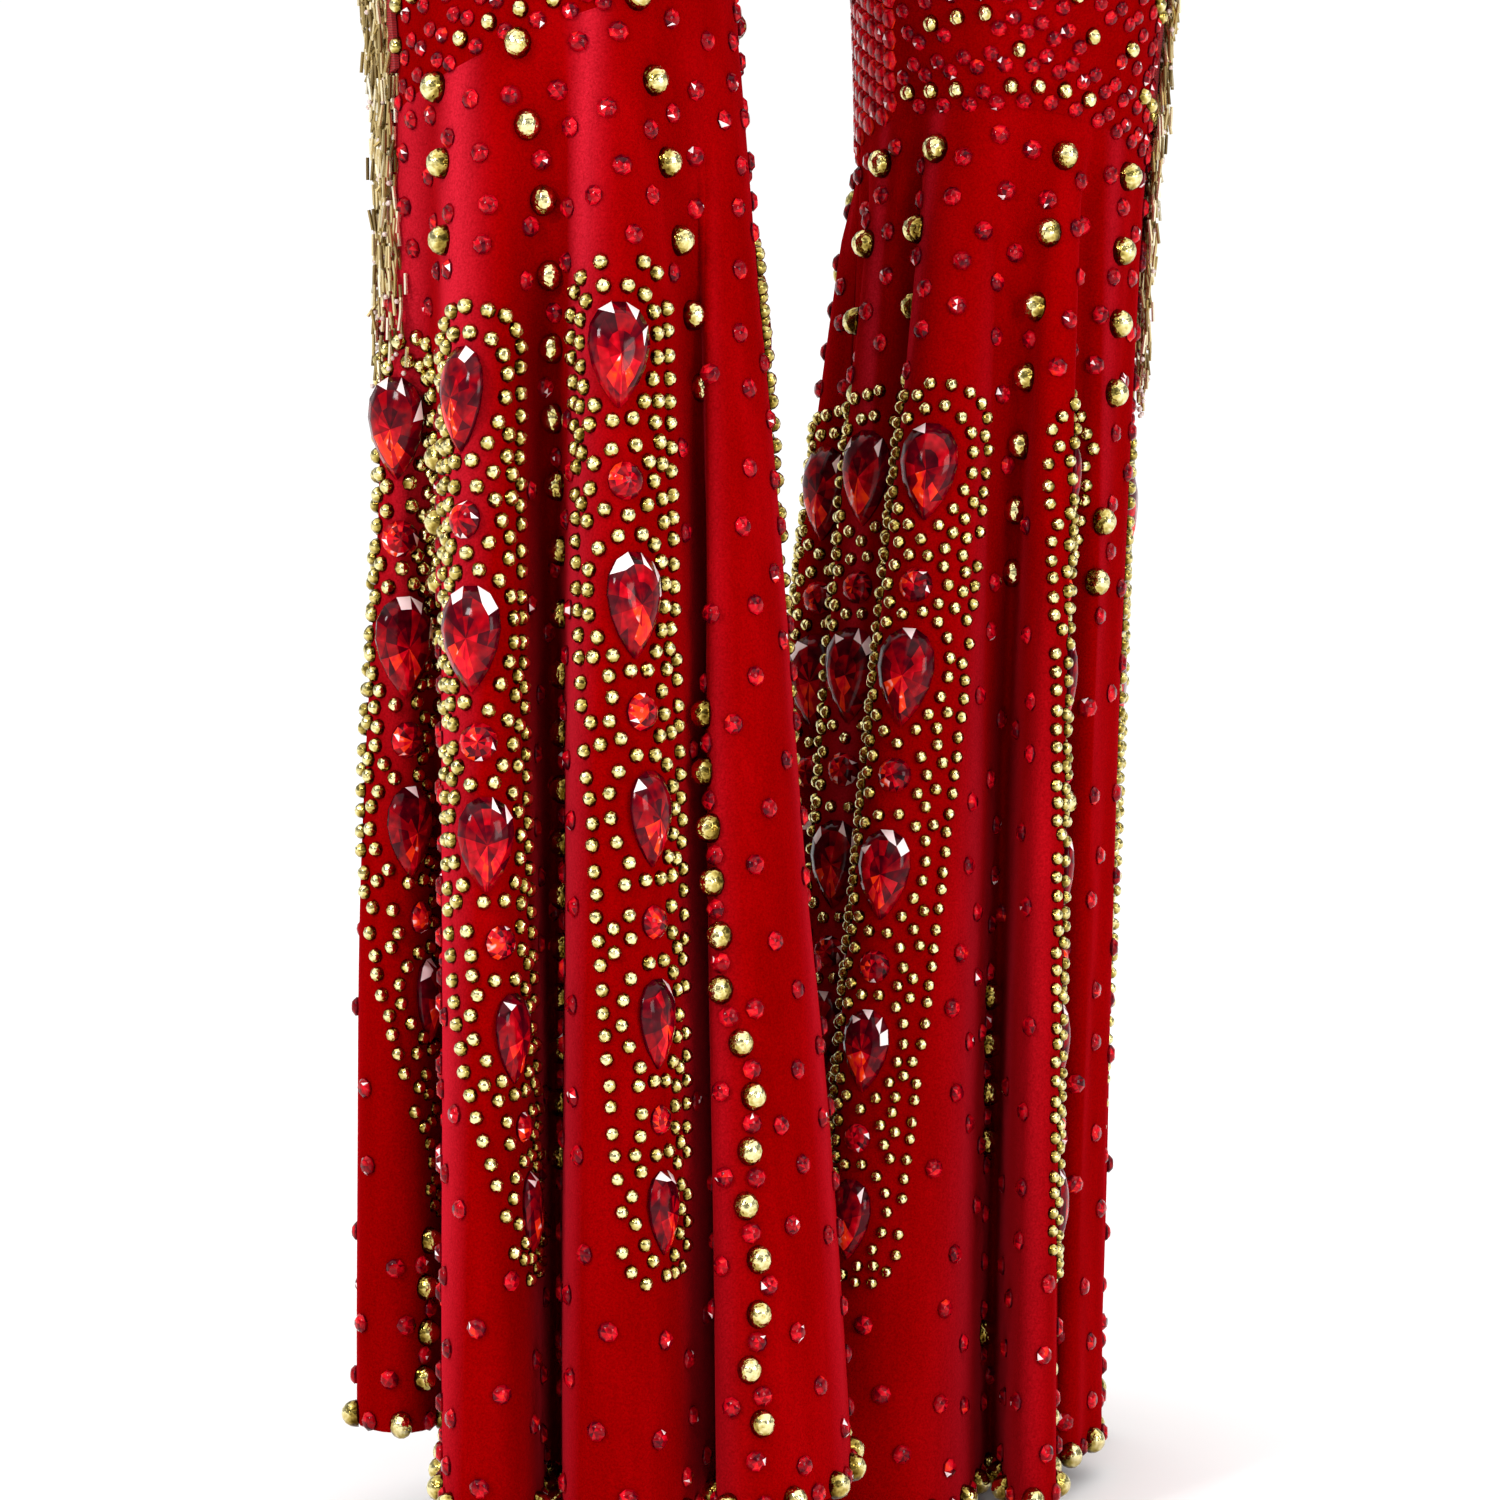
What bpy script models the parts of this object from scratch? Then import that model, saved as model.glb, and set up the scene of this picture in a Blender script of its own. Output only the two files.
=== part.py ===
"""A stage romper with long legs that end in deep, fluted flares, worn and hollow.

Metres, +Z up, the front towards -Y and the wearer's left towards +X. Heights in the tables
are above the lower hem. Every point is lowered by SHOULDER at the end, so the origin lies
between the two shoulder seams, where the wearer carries the garment.
"""

import math
from typing import NamedTuple

import bmesh
import bpy
import numpy as np

SHOULDER = 1.415  # height of the middle of the shoulder seams above the lower hem
WALL = 0.002  # pile velvet, its backing and the feet of the stones
GAP = 0.0003  # between two pieces at a seam
EDGE = GAP / 2  # what each of the two gives up
CHEST = 1.295  # the armhole's lowest point
CROTCH_TOP = 0.870  # the last level round of the trunk
CROTCH = 0.800
TRUNK_POWER = 2.25  # 2 is an ellipse, more is squarer
NECK_SIDE = 0.078  # half the neck's width at the shoulder seams
NECK_SIDE_HEIGHT = 1.427
SHOULDER_SLOPE = 0.35

BINDING_WIDTH = 0.009
BINDING_THICK = 0.0024

UPPER_COLUMNS = 10  # steps from the centre or inside leg to the side seam
HALF_FOLD_STEPS = 4  # steps from a crest to the next trough
FLARE_ROWS = 20
INNER_SKIP = 2  # the plain inside of a flare has this many times fewer rows
HANDLE_SPRING = 1.6  # how early the folds take their own rounds below the knee
STONE_LIFT = 0.0055  # how far the large drop stones stand off the velvet

TAPE_WIDTH = 0.018
TAPE_THICK = 0.002
TAPE_STAND = 0.0007  # between the thigh's wall and the tape
TAPE_TOP = 0.790
STRAND_COLUMNS = 6
STRAND_ROWS = 15
STRAND_LENGTH = 0.107
STRAND_RADIUS = 0.0008
STRAND_DRIFT = 0.005  # how far the lowest strands' ends swing out over the flare
STRAND_SIDES = 3


class Section(NamedTuple):
    """One level round of the trunk."""

    height: float
    half_width: float
    front_depth: float
    back_depth: float


class ChestRow(NamedTuple):
    """One row over the chest or shoulder blades, from the neck's edge to the armhole's."""

    neck_out: float
    neck_height: float
    arm_out: float
    arm_height: float


class LegSection(NamedTuple):
    """One round of a leg; reach is how far its middle lies out from the centre line."""

    height: float
    half_width: float
    half_depth: float
    reach: float


class Crest(NamedTuple):
    """The outermost line of a fold of a flare.

    Degrees run from the front, 0, towards the outer side, 90. `knee` and `hem` say where
    the line starts and ends, round the knee's middle and the hem's; `facing` is the way
    that the fold looks at the hem. `radius` is from the hem's middle, `round` the length
    of the curve's handles there, and a `spring` above 1 swings out early and then hangs.
    """

    knee: float
    hem: float
    radius: float
    facing: float
    round: float
    spring: float


class Trough(NamedTuple):
    """The innermost line between two folds, in the same terms."""

    knee: float
    hem: float
    radius: float
    facing: float
    round: float
    spring: float


class Plume(NamedTuple):
    """A long field of studs on a flare; a whole number is a crest, a half the trough after."""

    top: float
    foot: float


class Leg(NamedTuple):
    """What differs between the two legs in this stride.

    The tape of the fringe stops `tape_end` above the knee seam, and the ends of its lowest
    strands hang `strand_lead` forward of their roots.
    """

    name: str
    side: float
    stride: float
    fullness: float
    seam_height: float
    seam_dip: float
    seam_peak: float
    hem_height: float
    hem_reach: float
    hem_stride: float
    tape_turn: float
    tape_end: float
    strand_lead: float
    seams: tuple
    folds: tuple
    plumes: tuple


TRUNK = (
    Section(1.295, 0.160, 0.106, 0.100),
    Section(1.235, 0.151, 0.117, 0.098),
    Section(1.165, 0.134, 0.103, 0.090),
    Section(1.080, 0.119, 0.090, 0.080),
    Section(1.000, 0.146, 0.101, 0.106),
    Section(0.925, 0.168, 0.102, 0.127),
    Section(0.870, 0.172, 0.096, 0.124),
)
TRUNK_HEIGHTS = (1.295, 1.255, 1.210, 1.150, 1.080, 1.020, 0.965, 0.918, 0.870)

CHEST_FRONT = (
    ChestRow(0.000, 1.295, 0.160, 1.295),
    ChestRow(0.000, 1.304, 0.157, 1.297),
    ChestRow(0.000, 1.316, 0.151, 1.303),
    ChestRow(0.000, 1.330, 0.143, 1.316),
    ChestRow(0.030, 1.336, 0.137, 1.335),
    ChestRow(0.054, 1.352, 0.135, 1.354),
    ChestRow(0.070, 1.378, 0.138, 1.374),
    ChestRow(0.077, 1.405, 0.143, 1.391),
    ChestRow(0.078, 1.420, 0.146, 1.399),
    ChestRow(0.078, 1.427, 0.148, 1.4025),
)
CHEST_BACK = (
    ChestRow(0.000, 1.295, 0.160, 1.295),
    ChestRow(0.000, 1.318, 0.157, 1.297),
    ChestRow(0.000, 1.342, 0.151, 1.303),
    ChestRow(0.000, 1.365, 0.144, 1.316),
    ChestRow(0.000, 1.392, 0.140, 1.335),
    ChestRow(0.030, 1.395, 0.139, 1.354),
    ChestRow(0.056, 1.403, 0.141, 1.374),
    ChestRow(0.072, 1.415, 0.144, 1.391),
    ChestRow(0.077, 1.423, 0.1465, 1.399),
    ChestRow(0.078, 1.427, 0.148, 1.4025),
)

LEG = (
    LegSection(0.800, 0.0858, 0.0950, 0.0860),
    LegSection(0.740, 0.0800, 0.0870, 0.0850),
    LegSection(0.670, 0.0720, 0.0770, 0.0820),
    LegSection(0.600, 0.0640, 0.0670, 0.0780),
    LegSection(0.530, 0.0560, 0.0580, 0.0735),
    LegSection(0.450, 0.0500, 0.0530, 0.0710),
    LegSection(0.400, 0.0490, 0.0520, 0.0705),
)
LEG_DROPS = (0.0, 0.17, 0.34, 0.50, 0.65, 0.78, 0.89, 1.0)
CROTCH_TURNS = (22.5, 45.0, 67.5)

RIGHT_FOLDS = (
    Crest(-136, -140, 0.071, -140, 0.016, 1.3),
    Trough(-118, -123, 0.051, -123, 0.007, 1.0),
    Crest(-102, -106, 0.059, -115, 0.010, 1.2),
    Trough(-88, -80, 0.067, -100, 0.014, 1.0),
    Crest(-66, -27, 0.122, -35, 0.042, 1.1),
    Trough(-43, -43, 0.065, -2, 0.007, 1.4),
    Crest(-20, -3, 0.117, 4, 0.025, 1.7),
    Trough(2, 17, 0.044, 0, 0.009, 2.0),
    Crest(28, 17, 0.114, 10, 0.024, 1.9),
    Trough(54, 112, 0.051, 20, 0.007, 1.6),
    Crest(80, 80, 0.070, 45, 0.020, 3.0),
    Trough(100, 134, 0.054, 134, 0.008, 1.0),
    Crest(132, 148, 0.092, 146, 0.024, 1.6),
    Trough(154, 166, 0.058, 165, 0.008, 1.3),
    Crest(180, 188, 0.098, 186, 0.026, 1.5),
    Trough(202, 204, 0.060, 204, 0.008, 1.2),
)
LEFT_FOLDS = (
    Crest(-100, -85, 0.062, -95, 0.020, 1.1),
    Trough(-82, -57, 0.050, -75, 0.007, 1.0),
    Crest(-60, -40, 0.074, -30, 0.018, 1.3),
    Trough(-42, -27, 0.060, -31, 0.006, 1.5),
    Crest(-18, -12.5, 0.113, -7, 0.038, 1.5),
    Trough(8, 19, 0.050, 3, 0.008, 1.8),
    Crest(24, 15.5, 0.105, 8, 0.012, 1.6),
    Trough(40, 37, 0.066, 20, 0.006, 1.5),
    Crest(62, 60, 0.059, 60, 0.018, 1.6),
    Trough(88, 96, 0.041, 96, 0.008, 1.0),
    Crest(116, 128, 0.068, 128, 0.020, 1.4),
    Trough(140, 152, 0.052, 152, 0.008, 1.2),
    Crest(166, 178, 0.098, 176, 0.026, 1.5),
    Trough(192, 200, 0.060, 200, 0.008, 1.2),
    Crest(216, 222, 0.090, 222, 0.024, 1.4),
    Trough(240, 245, 0.050, 245, 0.008, 1.1),
)
RIGHT_PLUMES = (
    Plume(0.85, 0.65),
    Plume(1.85, 1.60),
    Plume(3.04, 2.81),
    Plume(4.22, 3.76),
    Plume(4.78, 4.55),
    Plume(5.85, 5.70),
    Plume(6.85, 6.75),
    Plume(7.85, 7.75),
)
LEFT_PLUMES = (
    Plume(0.30, 0.25),
    Plume(1.15, 1.10),
    Plume(1.92, 1.82),
    Plume(3.30, 3.20),
    Plume(4.35, 4.30),
    Plume(5.35, 5.35),
    Plume(6.35, 6.40),
    Plume(7.40, 7.40),
)
PLUME_TOP = 0.17  # where the fields of studs begin and end, of the way from knee to hem
PLUME_FOOT = 0.845
DROP_STONES = (0.235, 0.400, 0.540, 0.673, 0.795)  # the large stones, likewise

RIGHT = Leg(
    name="r",
    side=-1.0,
    stride=-0.055,
    fullness=1.04,
    seam_height=0.480,
    seam_dip=0.046,
    seam_peak=-60.0,
    hem_height=0.028,
    hem_reach=0.060,
    hem_stride=-0.050,
    tape_turn=76.0,
    tape_end=0.012,
    strand_lead=0.006,
    seams=(1.5, 5.5),
    folds=RIGHT_FOLDS,
    plumes=RIGHT_PLUMES,
)
LEFT = Leg(
    name="l",
    side=1.0,
    stride=0.055,
    fullness=0.94,
    seam_height=0.443,
    seam_dip=0.040,
    seam_peak=-10.0,
    hem_height=0.0,
    hem_reach=0.050,
    hem_stride=0.045,
    tape_turn=98.0,
    tape_end=0.021,
    strand_lead=0.0,
    seams=(0.5, 4.5),
    folds=LEFT_FOLDS,
    plumes=LEFT_PLUMES,
)


def read(rows, name):
    """One named column of a table."""
    return np.array([getattr(row, name) for row in rows], float)


def smooth(rows, name, height):
    """A named column at any height, on a smooth curve that starts out level at the top."""
    heights = read(rows, "height")[::-1]
    values = read(rows, name)[::-1]
    slopes = np.gradient(values, heights)
    slopes[-1] = 0.0
    low = np.clip(np.searchsorted(heights, height) - 1, 0, len(heights) - 2)
    step = heights[low + 1] - heights[low]
    t = (height - heights[low]) / step
    rest = 1 - t
    return (
        (1 + 2 * t) * rest**2 * values[low]
        + t * rest**2 * step * slopes[low]
        + t**2 * (3 - 2 * t) * values[low + 1]
        - t**2 * rest * step * slopes[low + 1]
    )


def unit(vectors):
    return vectors / np.linalg.norm(vectors, axis=-1, keepdims=True)


def power(value, exponent):
    return np.sign(value) * np.abs(value) ** exponent


def trunk_row(leg, front, across, height):
    """A level row of the trunk; `across` is 0 at the centre line and 1 at the side seam."""
    turn = across * math.pi / 2
    depth = smooth(TRUNK, "front_depth" if front else "back_depth", height)
    width = smooth(TRUNK, "half_width", height)
    x = leg.side * width * power(np.sin(turn), 2 / TRUNK_POWER)
    y = (-depth if front else depth) * power(np.cos(turn), 2 / TRUNK_POWER)
    return np.stack([x, y, np.full_like(across, height)], axis=-1)


def chest_depth(front, out, height):
    """How far the chest or back stands off the middle plane: nothing at the shoulder seam."""
    seam = NECK_SIDE_HEIGHT - SHOULDER_SLOPE * (np.abs(out) - NECK_SIDE)
    below = np.clip((seam - height) / (seam - CHEST), 0, 1)
    depth = TRUNK[0].front_depth if front else TRUNK[0].back_depth
    width = np.clip(1 - (np.abs(out) / TRUNK[0].half_width) ** TRUNK_POWER, 0, 1)
    return depth * width ** (1 / TRUNK_POWER) * np.sqrt(1 - (1 - below) ** 2)


def chest_row(leg, front, across, row):
    """A row above the armhole's foot, straight from the neck's edge to the armhole's."""
    out = row.neck_out + (row.arm_out - row.neck_out) * across
    height = row.neck_height + (row.arm_height - row.neck_height) * across
    depth = chest_depth(front, out, height)
    return np.stack([leg.side * out, -depth if front else depth, height], axis=-1)


def chest_normals(leg, front, points):
    """Outward unit normals of the chest, from the slopes of its depth."""
    step = 0.0005
    out = np.minimum(points[..., 0] * leg.side, TRUNK[0].half_width - step)
    height = points[..., 2] - 2 * step
    here = chest_depth(front, out, height)
    over = (here - chest_depth(front, out + step, height)) / step * leg.side
    up = (chest_depth(front, out, height - step) - here) / step
    return unit(np.stack([over, np.full_like(over, -1.0 if front else 1.0), up], axis=-1))


def knee_seam(leg, turn):
    """The seam's height round the leg: one slanted wave, highest at seam_peak."""
    return leg.seam_height - leg.seam_dip * (1 - np.cos(turn - math.radians(leg.seam_peak))) / 2


def leg_surface(leg, turn, drop):
    """A point of the thigh, `drop` of the way from the crotch to the knee seam."""
    height = CROTCH + (knee_seam(leg, turn) - CROTCH) * drop
    fullness = 1 + (leg.fullness - 1) * drop
    width = smooth(LEG, "half_width", height) * fullness
    depth = smooth(LEG, "half_depth", height) * fullness
    x = leg.side * (smooth(LEG, "reach", height) + width * np.sin(turn))
    y = leg.stride * drop**1.4 - depth * np.cos(turn)
    return np.stack([x, y, height], axis=-1)


def leg_row(leg, front, across, drop):
    """A row of the thigh from the inside leg to the outside, over the front or the back."""
    turn = (across - 0.5) * math.pi
    if not front:
        turn = math.pi - turn
    return leg_surface(leg, turn, np.full_like(across, drop))


def crotch_row(leg, front, across, turn):
    """A row between trunk and leg: its inner end runs under the body on a quarter ellipse."""
    under = (1 - np.clip(across, 0, 1)) ** 2
    fall = turn / 90
    share = under * (1 - math.cos(math.radians(turn))) + (1 - under) * fall**2 * (3 - 2 * fall)
    drop = under * math.sin(math.radians(turn)) + (1 - under) * fall
    trunk = trunk_row(leg, front, across, CROTCH_TOP)
    row = trunk + (leg_row(leg, front, across, 0.0) - trunk) * share[:, None]
    row[:, 2] = CROTCH_TOP - (CROTCH_TOP - CROTCH) * drop
    return row


def outward(grid, middle):
    """Unit normals of a grid of points, all turned away from the line or point inside it."""
    along = np.gradient(grid, axis=0)
    across = np.gradient(grid, axis=1)
    normal = unit(np.cross(along, across))
    turned = np.sum(normal * (grid - middle), axis=(0, 1, 2)) < 0
    return -normal if turned else normal


def within(normal, axis):
    """The normals laid into the plane square to an axis, for an edge that lies in it."""
    laid = normal.copy()
    laid[..., axis] = 0
    return unit(laid)


def drawn_in(points, neighbours):
    """An edge's points moved towards the next row of their piece, to leave the seam's gap."""
    return points + EDGE * unit(neighbours - points)


def upper_panel(leg, front):
    """(outer, inner, middle, normal) of a front or back, from the shoulder to the knee seam."""
    across = np.arange(-1, UPPER_COLUMNS + 2) / UPPER_COLUMNS
    chest = CHEST_FRONT if front else CHEST_BACK
    rows = [chest_row(leg, front, across, row) for row in chest[:0:-1]]
    side_top = len(rows)
    rows += [trunk_row(leg, front, across, height) for height in TRUNK_HEIGHTS]
    rows += [crotch_row(leg, front, across, turn) for turn in CROTCH_TURNS]
    fork = len(rows)
    rows += [leg_row(leg, front, across, drop) for drop in LEG_DROPS]
    grid = np.array(rows)
    axis = np.array([leg.side * 0.08, 0.0, 0.0]) + grid * [0, 0, 1]
    normal = outward(grid, axis)[:, 1:-1]
    grid = grid[:, 1:-1]
    normal[: side_top + 1] = chest_normals(leg, front, grid[: side_top + 1])
    centre = slice(int(np.argmax(grid[:, 0, 0] * leg.side <= 1e-9)), fork + 1)
    normal[centre, 0] = within(normal[centre, 0], 0)
    normal[0] = within(normal[0], 1)
    normal[side_top, -1] = within(normal[side_top, -1], 1)
    normal[-1] = within(normal[-1], 2)
    faces = []
    for offset in (WALL / 2, -WALL / 2):
        face = grid + offset * normal
        face[side_top:, -1] = drawn_in(face[side_top:, -1], face[side_top:, -2])
        face[fork:, 0] = drawn_in(face[fork:, 0], face[fork:, 1])
        face[centre, 0, 0] = leg.side * EDGE
        face[0] = drawn_in(face[0], face[1])
        face[-1] = drawn_in(face[-1], face[-2])
        faces.append(face)
    return faces[0], faces[1], grid, normal


def knot(leg, index, down, span):
    """A crest or trough on its way from knee to hem, and its curve's handle.

    At the knee the handle is a third of the ring's own arc `span`, so that the curve is the
    ring; at the hem it lies square to the way the fold faces and has the table's length.
    """
    knee_turn = np.radians(read(leg.folds, "knee")[index])
    hem_turn = np.radians(read(leg.folds, "hem")[index])
    facing = np.radians(read(leg.folds, "facing")[index])
    knee = leg_surface(leg, knee_turn, 1.0)
    ahead = leg_surface(leg, knee_turn + 0.001, 1.0)
    behind = leg_surface(leg, knee_turn - 0.001, 1.0)
    knee_handle = (ahead - behind) / 0.002 * span[:, None] / 3
    out = np.stack([leg.side * np.sin(hem_turn), -np.cos(hem_turn), 0 * hem_turn], axis=-1)
    along = np.stack([leg.side * np.cos(facing), np.sin(facing), 0 * facing], axis=-1)
    middle = np.array([leg.side * leg.hem_reach, leg.hem_stride, leg.hem_height])
    hem = middle + out * read(leg.folds, "radius")[index][:, None]
    hem_handle = along * read(leg.folds, "round")[index][:, None]
    swing = 1 - (1 - down) ** read(leg.folds, "spring")[index]
    share = np.stack([swing, swing, down], axis=-1)
    turned = (1 - (1 - down) ** HANDLE_SPRING)[:, None]
    return knee + (hem - knee) * share, knee_handle + (hem_handle - knee_handle) * turned


def flare_surface(leg, around, down):
    """Points of a flare: `around` in folds, `down` from the knee seam, 0, to the hem, 1.

    Each half fold is one Bezier curve, tangent to the round at its crest and its trough.
    """
    knee = np.radians(read(leg.folds, "knee"))
    count = len(knee)
    shape = np.shape(around)
    around = np.ravel(around)
    down = np.ravel(down)
    start = np.floor(2 * around + 1e-9).astype(int)
    t = (2 * around - start)[:, None]
    low = start % count
    high = (start + 1) % count
    span = (knee[high] - knee[low]) % (2 * math.pi)
    first, first_handle = knot(leg, low, down, span)
    last, last_handle = knot(leg, high, down, span)
    points = (
        (1 - t) ** 3 * first
        + 3 * (1 - t) ** 2 * t * (first + first_handle)
        + 3 * (1 - t) * t**2 * (last - last_handle)
        + t**3 * last
    )
    return points.reshape(*shape, 3)


def flare_normals(leg, around, down):
    """Outward unit normals from the surface's own slopes."""
    step = 0.002
    above = np.clip(down - step, 0, 1)
    below = np.clip(down + step, 0, 1)
    across = flare_surface(leg, around + step, down) - flare_surface(leg, around - step, down)
    along = flare_surface(leg, around, below) - flare_surface(leg, around, above)
    return unit(np.cross(across, along)) * leg.side * -1


def stones_of(leg):
    """(around, down) of each large stone, on the middle lines of the plumes."""
    share = (np.array(DROP_STONES) - PLUME_TOP) / (PLUME_FOOT - PLUME_TOP)
    return [
        (plume.top + (plume.foot - plume.top) * part, down)
        for plume in leg.plumes
        for part, down in zip(share, DROP_STONES)
    ]


def flare_panel(leg, front):
    """(outer, inner) of a flare's front or back. Large stones lift the outer points."""
    first, last = leg.seams if front else (leg.seams[1], leg.seams[0] + len(leg.folds) / 2)
    steps = round((last - first) * 2 * HALF_FOLD_STEPS)
    down, around = np.meshgrid(
        np.linspace(0, 1, FLARE_ROWS + 1), np.linspace(first, last, steps + 1), indexing="ij"
    )
    inner = flare_face(leg, around[::INNER_SKIP], down[::INNER_SKIP], -WALL / 2)
    lift = np.full_like(around, WALL / 2)
    for stone_around, stone_down in stones_of(leg):
        place = first + (stone_around - first) % (len(leg.folds) / 2)
        row = round(stone_down * FLARE_ROWS)
        column = round((place - first) * steps / (last - first))
        if 0 < column < steps:
            around[row, column] = place
            down[row, column] = stone_down
            lift[row, column] = STONE_LIFT
    return flare_face(leg, around, down, lift), inner


def flare_face(leg, around, down, offset):
    """The flare's surface moved along its normals, with the seams' gaps drawn in."""
    normal = flare_normals(leg, around, down)
    normal[0] = within(normal[0], 2)
    normal[-1] = within(normal[-1], 2)
    face = flare_surface(leg, around, down) + normal * np.broadcast_to(offset, around.shape)[..., None]
    face[:, 0] = drawn_in(face[:, 0], face[:, 1])
    face[:, -1] = drawn_in(face[:, -1], face[:, -2])
    face[0] = drawn_in(face[0], face[1])
    return face


def finish(name, material, made):
    """The mesh as an object, lowered so that the shoulders lie at the origin."""
    bmesh.ops.recalc_face_normals(made, faces=made.faces)
    bmesh.ops.translate(made, verts=made.verts, vec=(0, 0, -SHOULDER))
    mesh = bpy.data.meshes.new(name)
    made.to_mesh(mesh)
    made.free()
    mesh.materials.append(material)
    mesh.shade_smooth()
    piece = bpy.data.objects.new(name, mesh)
    bpy.context.collection.objects.link(piece)
    return piece


def strip(made, one, other):
    """Faces between two rows of vertices, where one may have several times the steps."""
    if len(one) < len(other):
        one, other = other, one
    ratio = (len(one) - 1) // (len(other) - 1)
    for step in range(len(other) - 1):
        fan = one[step * ratio : (step + 1) * ratio + 1]
        if ratio == 1:
            made.faces.new([fan[0], fan[1], other[step + 1], other[step]])
            continue
        for near, far in zip(fan, fan[1:]):
            made.faces.new([near, far, other[step]])
        made.faces.new([fan[-1], other[step + 1], other[step]])


def wall(name, material, outer, inner):
    """A closed wall between two grids that share their columns; inner may have fewer rows."""
    made = bmesh.new()
    sides = []
    for grid in (outer, inner):
        sides.append([[made.verts.new(point) for point in row] for row in grid])
    for verts in sides:
        for upper, lower in zip(verts, verts[1:]):
            strip(made, upper, lower)
    for row in (0, -1):
        strip(made, sides[0][row], sides[1][row])
    for column in (0, -1):
        strip(made, *([row[column] for row in verts] for verts in sides))
    return finish(name, material, made)


def binding(name, material, edge, normal):
    """A soft strip sewn round an opening, just outside the panels' edge."""
    tangent = unit(np.roll(edge, -1, axis=0) - np.roll(edge, 1, axis=0))
    away = unit(np.cross(tangent, normal))
    if np.sum(away * (edge - edge.mean(axis=0))) > 0:
        away = -away
    made = bmesh.new()
    half = BINDING_THICK / 2
    corners = ((GAP, half), (GAP + BINDING_WIDTH, half), (GAP + BINDING_WIDTH, -half), (GAP, -half))
    rings = [edge + out * away + rise * normal for out, rise in corners]
    verts = [[made.verts.new(point) for point in ring] for ring in rings]
    for ring, following in zip(verts, verts[1:] + verts[:1]):
        strip(made, ring + ring[:1], following + following[:1])
    return finish(name, material, made)


def loop(*runs):
    """Edge points of several panels in one closed run; where two panels meet, one point."""
    points = [point for run in runs for point in run]
    kept = [points[0]]
    for point in points[1:]:
        if np.linalg.norm(point[0] - kept[-1][0]) > GAP:
            kept.append(point)
    if np.linalg.norm(kept[0][0] - kept[-1][0]) < GAP:
        kept.pop()
    edge = np.array([point[0] for point in kept])
    return edge, unit(np.array([point[1] for point in kept]))


def neck_run(panel, leg):
    """The neck's edge on one panel, from the centre line up to the shoulder."""
    _, _, grid, normal = panel
    bottom = int(np.argmax(grid[:, 0, 0] * leg.side <= 1e-9))
    return list(zip(grid[bottom::-1, 0], normal[bottom::-1, 0]))


def arm_run(panel):
    """The armhole's edge on one panel, from the underarm up to the shoulder."""
    _, _, grid, normal = panel
    foot = len(CHEST_FRONT) - 1
    return list(zip(grid[foot::-1, -1], normal[foot::-1, -1]))


def fringe(leg, tape_material, strand_material):
    """A tape down the outside leg with its hanging strands, fused where they start."""
    rows = 2 * STRAND_ROWS
    turn = math.radians(leg.tape_turn)
    seam = knee_seam(leg, turn) + leg.tape_end
    heights = np.linspace(TAPE_TOP, seam, rows + 1)
    drop = (CROTCH - heights) / (CROTCH - knee_seam(leg, turn))
    half_turn = TAPE_WIDTH / 2 / smooth(LEG, "half_width", heights)
    share = np.array([-1.0, 0.0, 1.0])
    turns = turn + half_turn[:, None] * share
    drops = np.repeat(drop[:, None], 3, axis=1)
    out = unit(leg_surface(leg, turns, drops) - leg_surface(leg, turns + math.pi, drops))
    start = WALL / 2 + TAPE_STAND
    middle = leg_surface(leg, turns, drops)
    tape = wall("fringe_" + leg.name, tape_material, middle + out * (start + TAPE_THICK), middle + out * start)
    made = bmesh.new()
    root = start + TAPE_THICK - STRAND_RADIUS * 1.2
    for row in range(STRAND_ROWS):
        for column in range(STRAND_COLUMNS):
            place = (column + 0.5 + 0.25 * (-1) ** row) / STRAND_COLUMNS * 2 - 1
            at = 2 * row + 1
            strand_turn = turn + half_turn[at] * place * 0.92
            surface = leg_surface(leg, strand_turn, drop[at])
            away = unit(surface - leg_surface(leg, strand_turn + math.pi, drop[at])) * [1, 1, 0]
            swing = (away * STRAND_DRIFT - [0, leg.strand_lead, 0]) * (row / (STRAND_ROWS - 1)) ** 2
            strand(made, surface + away * root, swing - [0, 0, STRAND_LENGTH])
    strands = finish("strands_" + leg.name, strand_material, made)
    strands.hide_render = True
    strands.display_type = "WIRE"
    join = tape.modifiers.new("strands", "BOOLEAN")
    join.operation = "UNION"
    join.object = strands
    return tape


def strand(made, top, fall):
    """One three-sided strand from its root to its end."""
    angles = np.arange(STRAND_SIDES) * 2 * math.pi / STRAND_SIDES
    ring = STRAND_RADIUS * np.stack([np.cos(angles), np.sin(angles), 0 * angles], axis=-1)
    upper = [made.verts.new(top + point) for point in ring]
    lower = [made.verts.new(top + fall + point) for point in ring]
    made.faces.new(upper)
    made.faces.new(lower[::-1])
    strip(made, upper + upper[:1], lower + lower[:1])


def material(name, colour, roughness, metallic=0.0):
    made = bpy.data.materials.new(name)
    made.use_nodes = True
    shader = made.node_tree.nodes["Principled BSDF"]
    shader.inputs["Base Color"].default_value = (*colour, 1.0)
    shader.inputs["Roughness"].default_value = roughness
    shader.inputs["Metallic"].default_value = metallic
    return made


def clear_scene():
    for leftover in list(bpy.data.objects):
        bpy.data.objects.remove(leftover)


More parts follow.
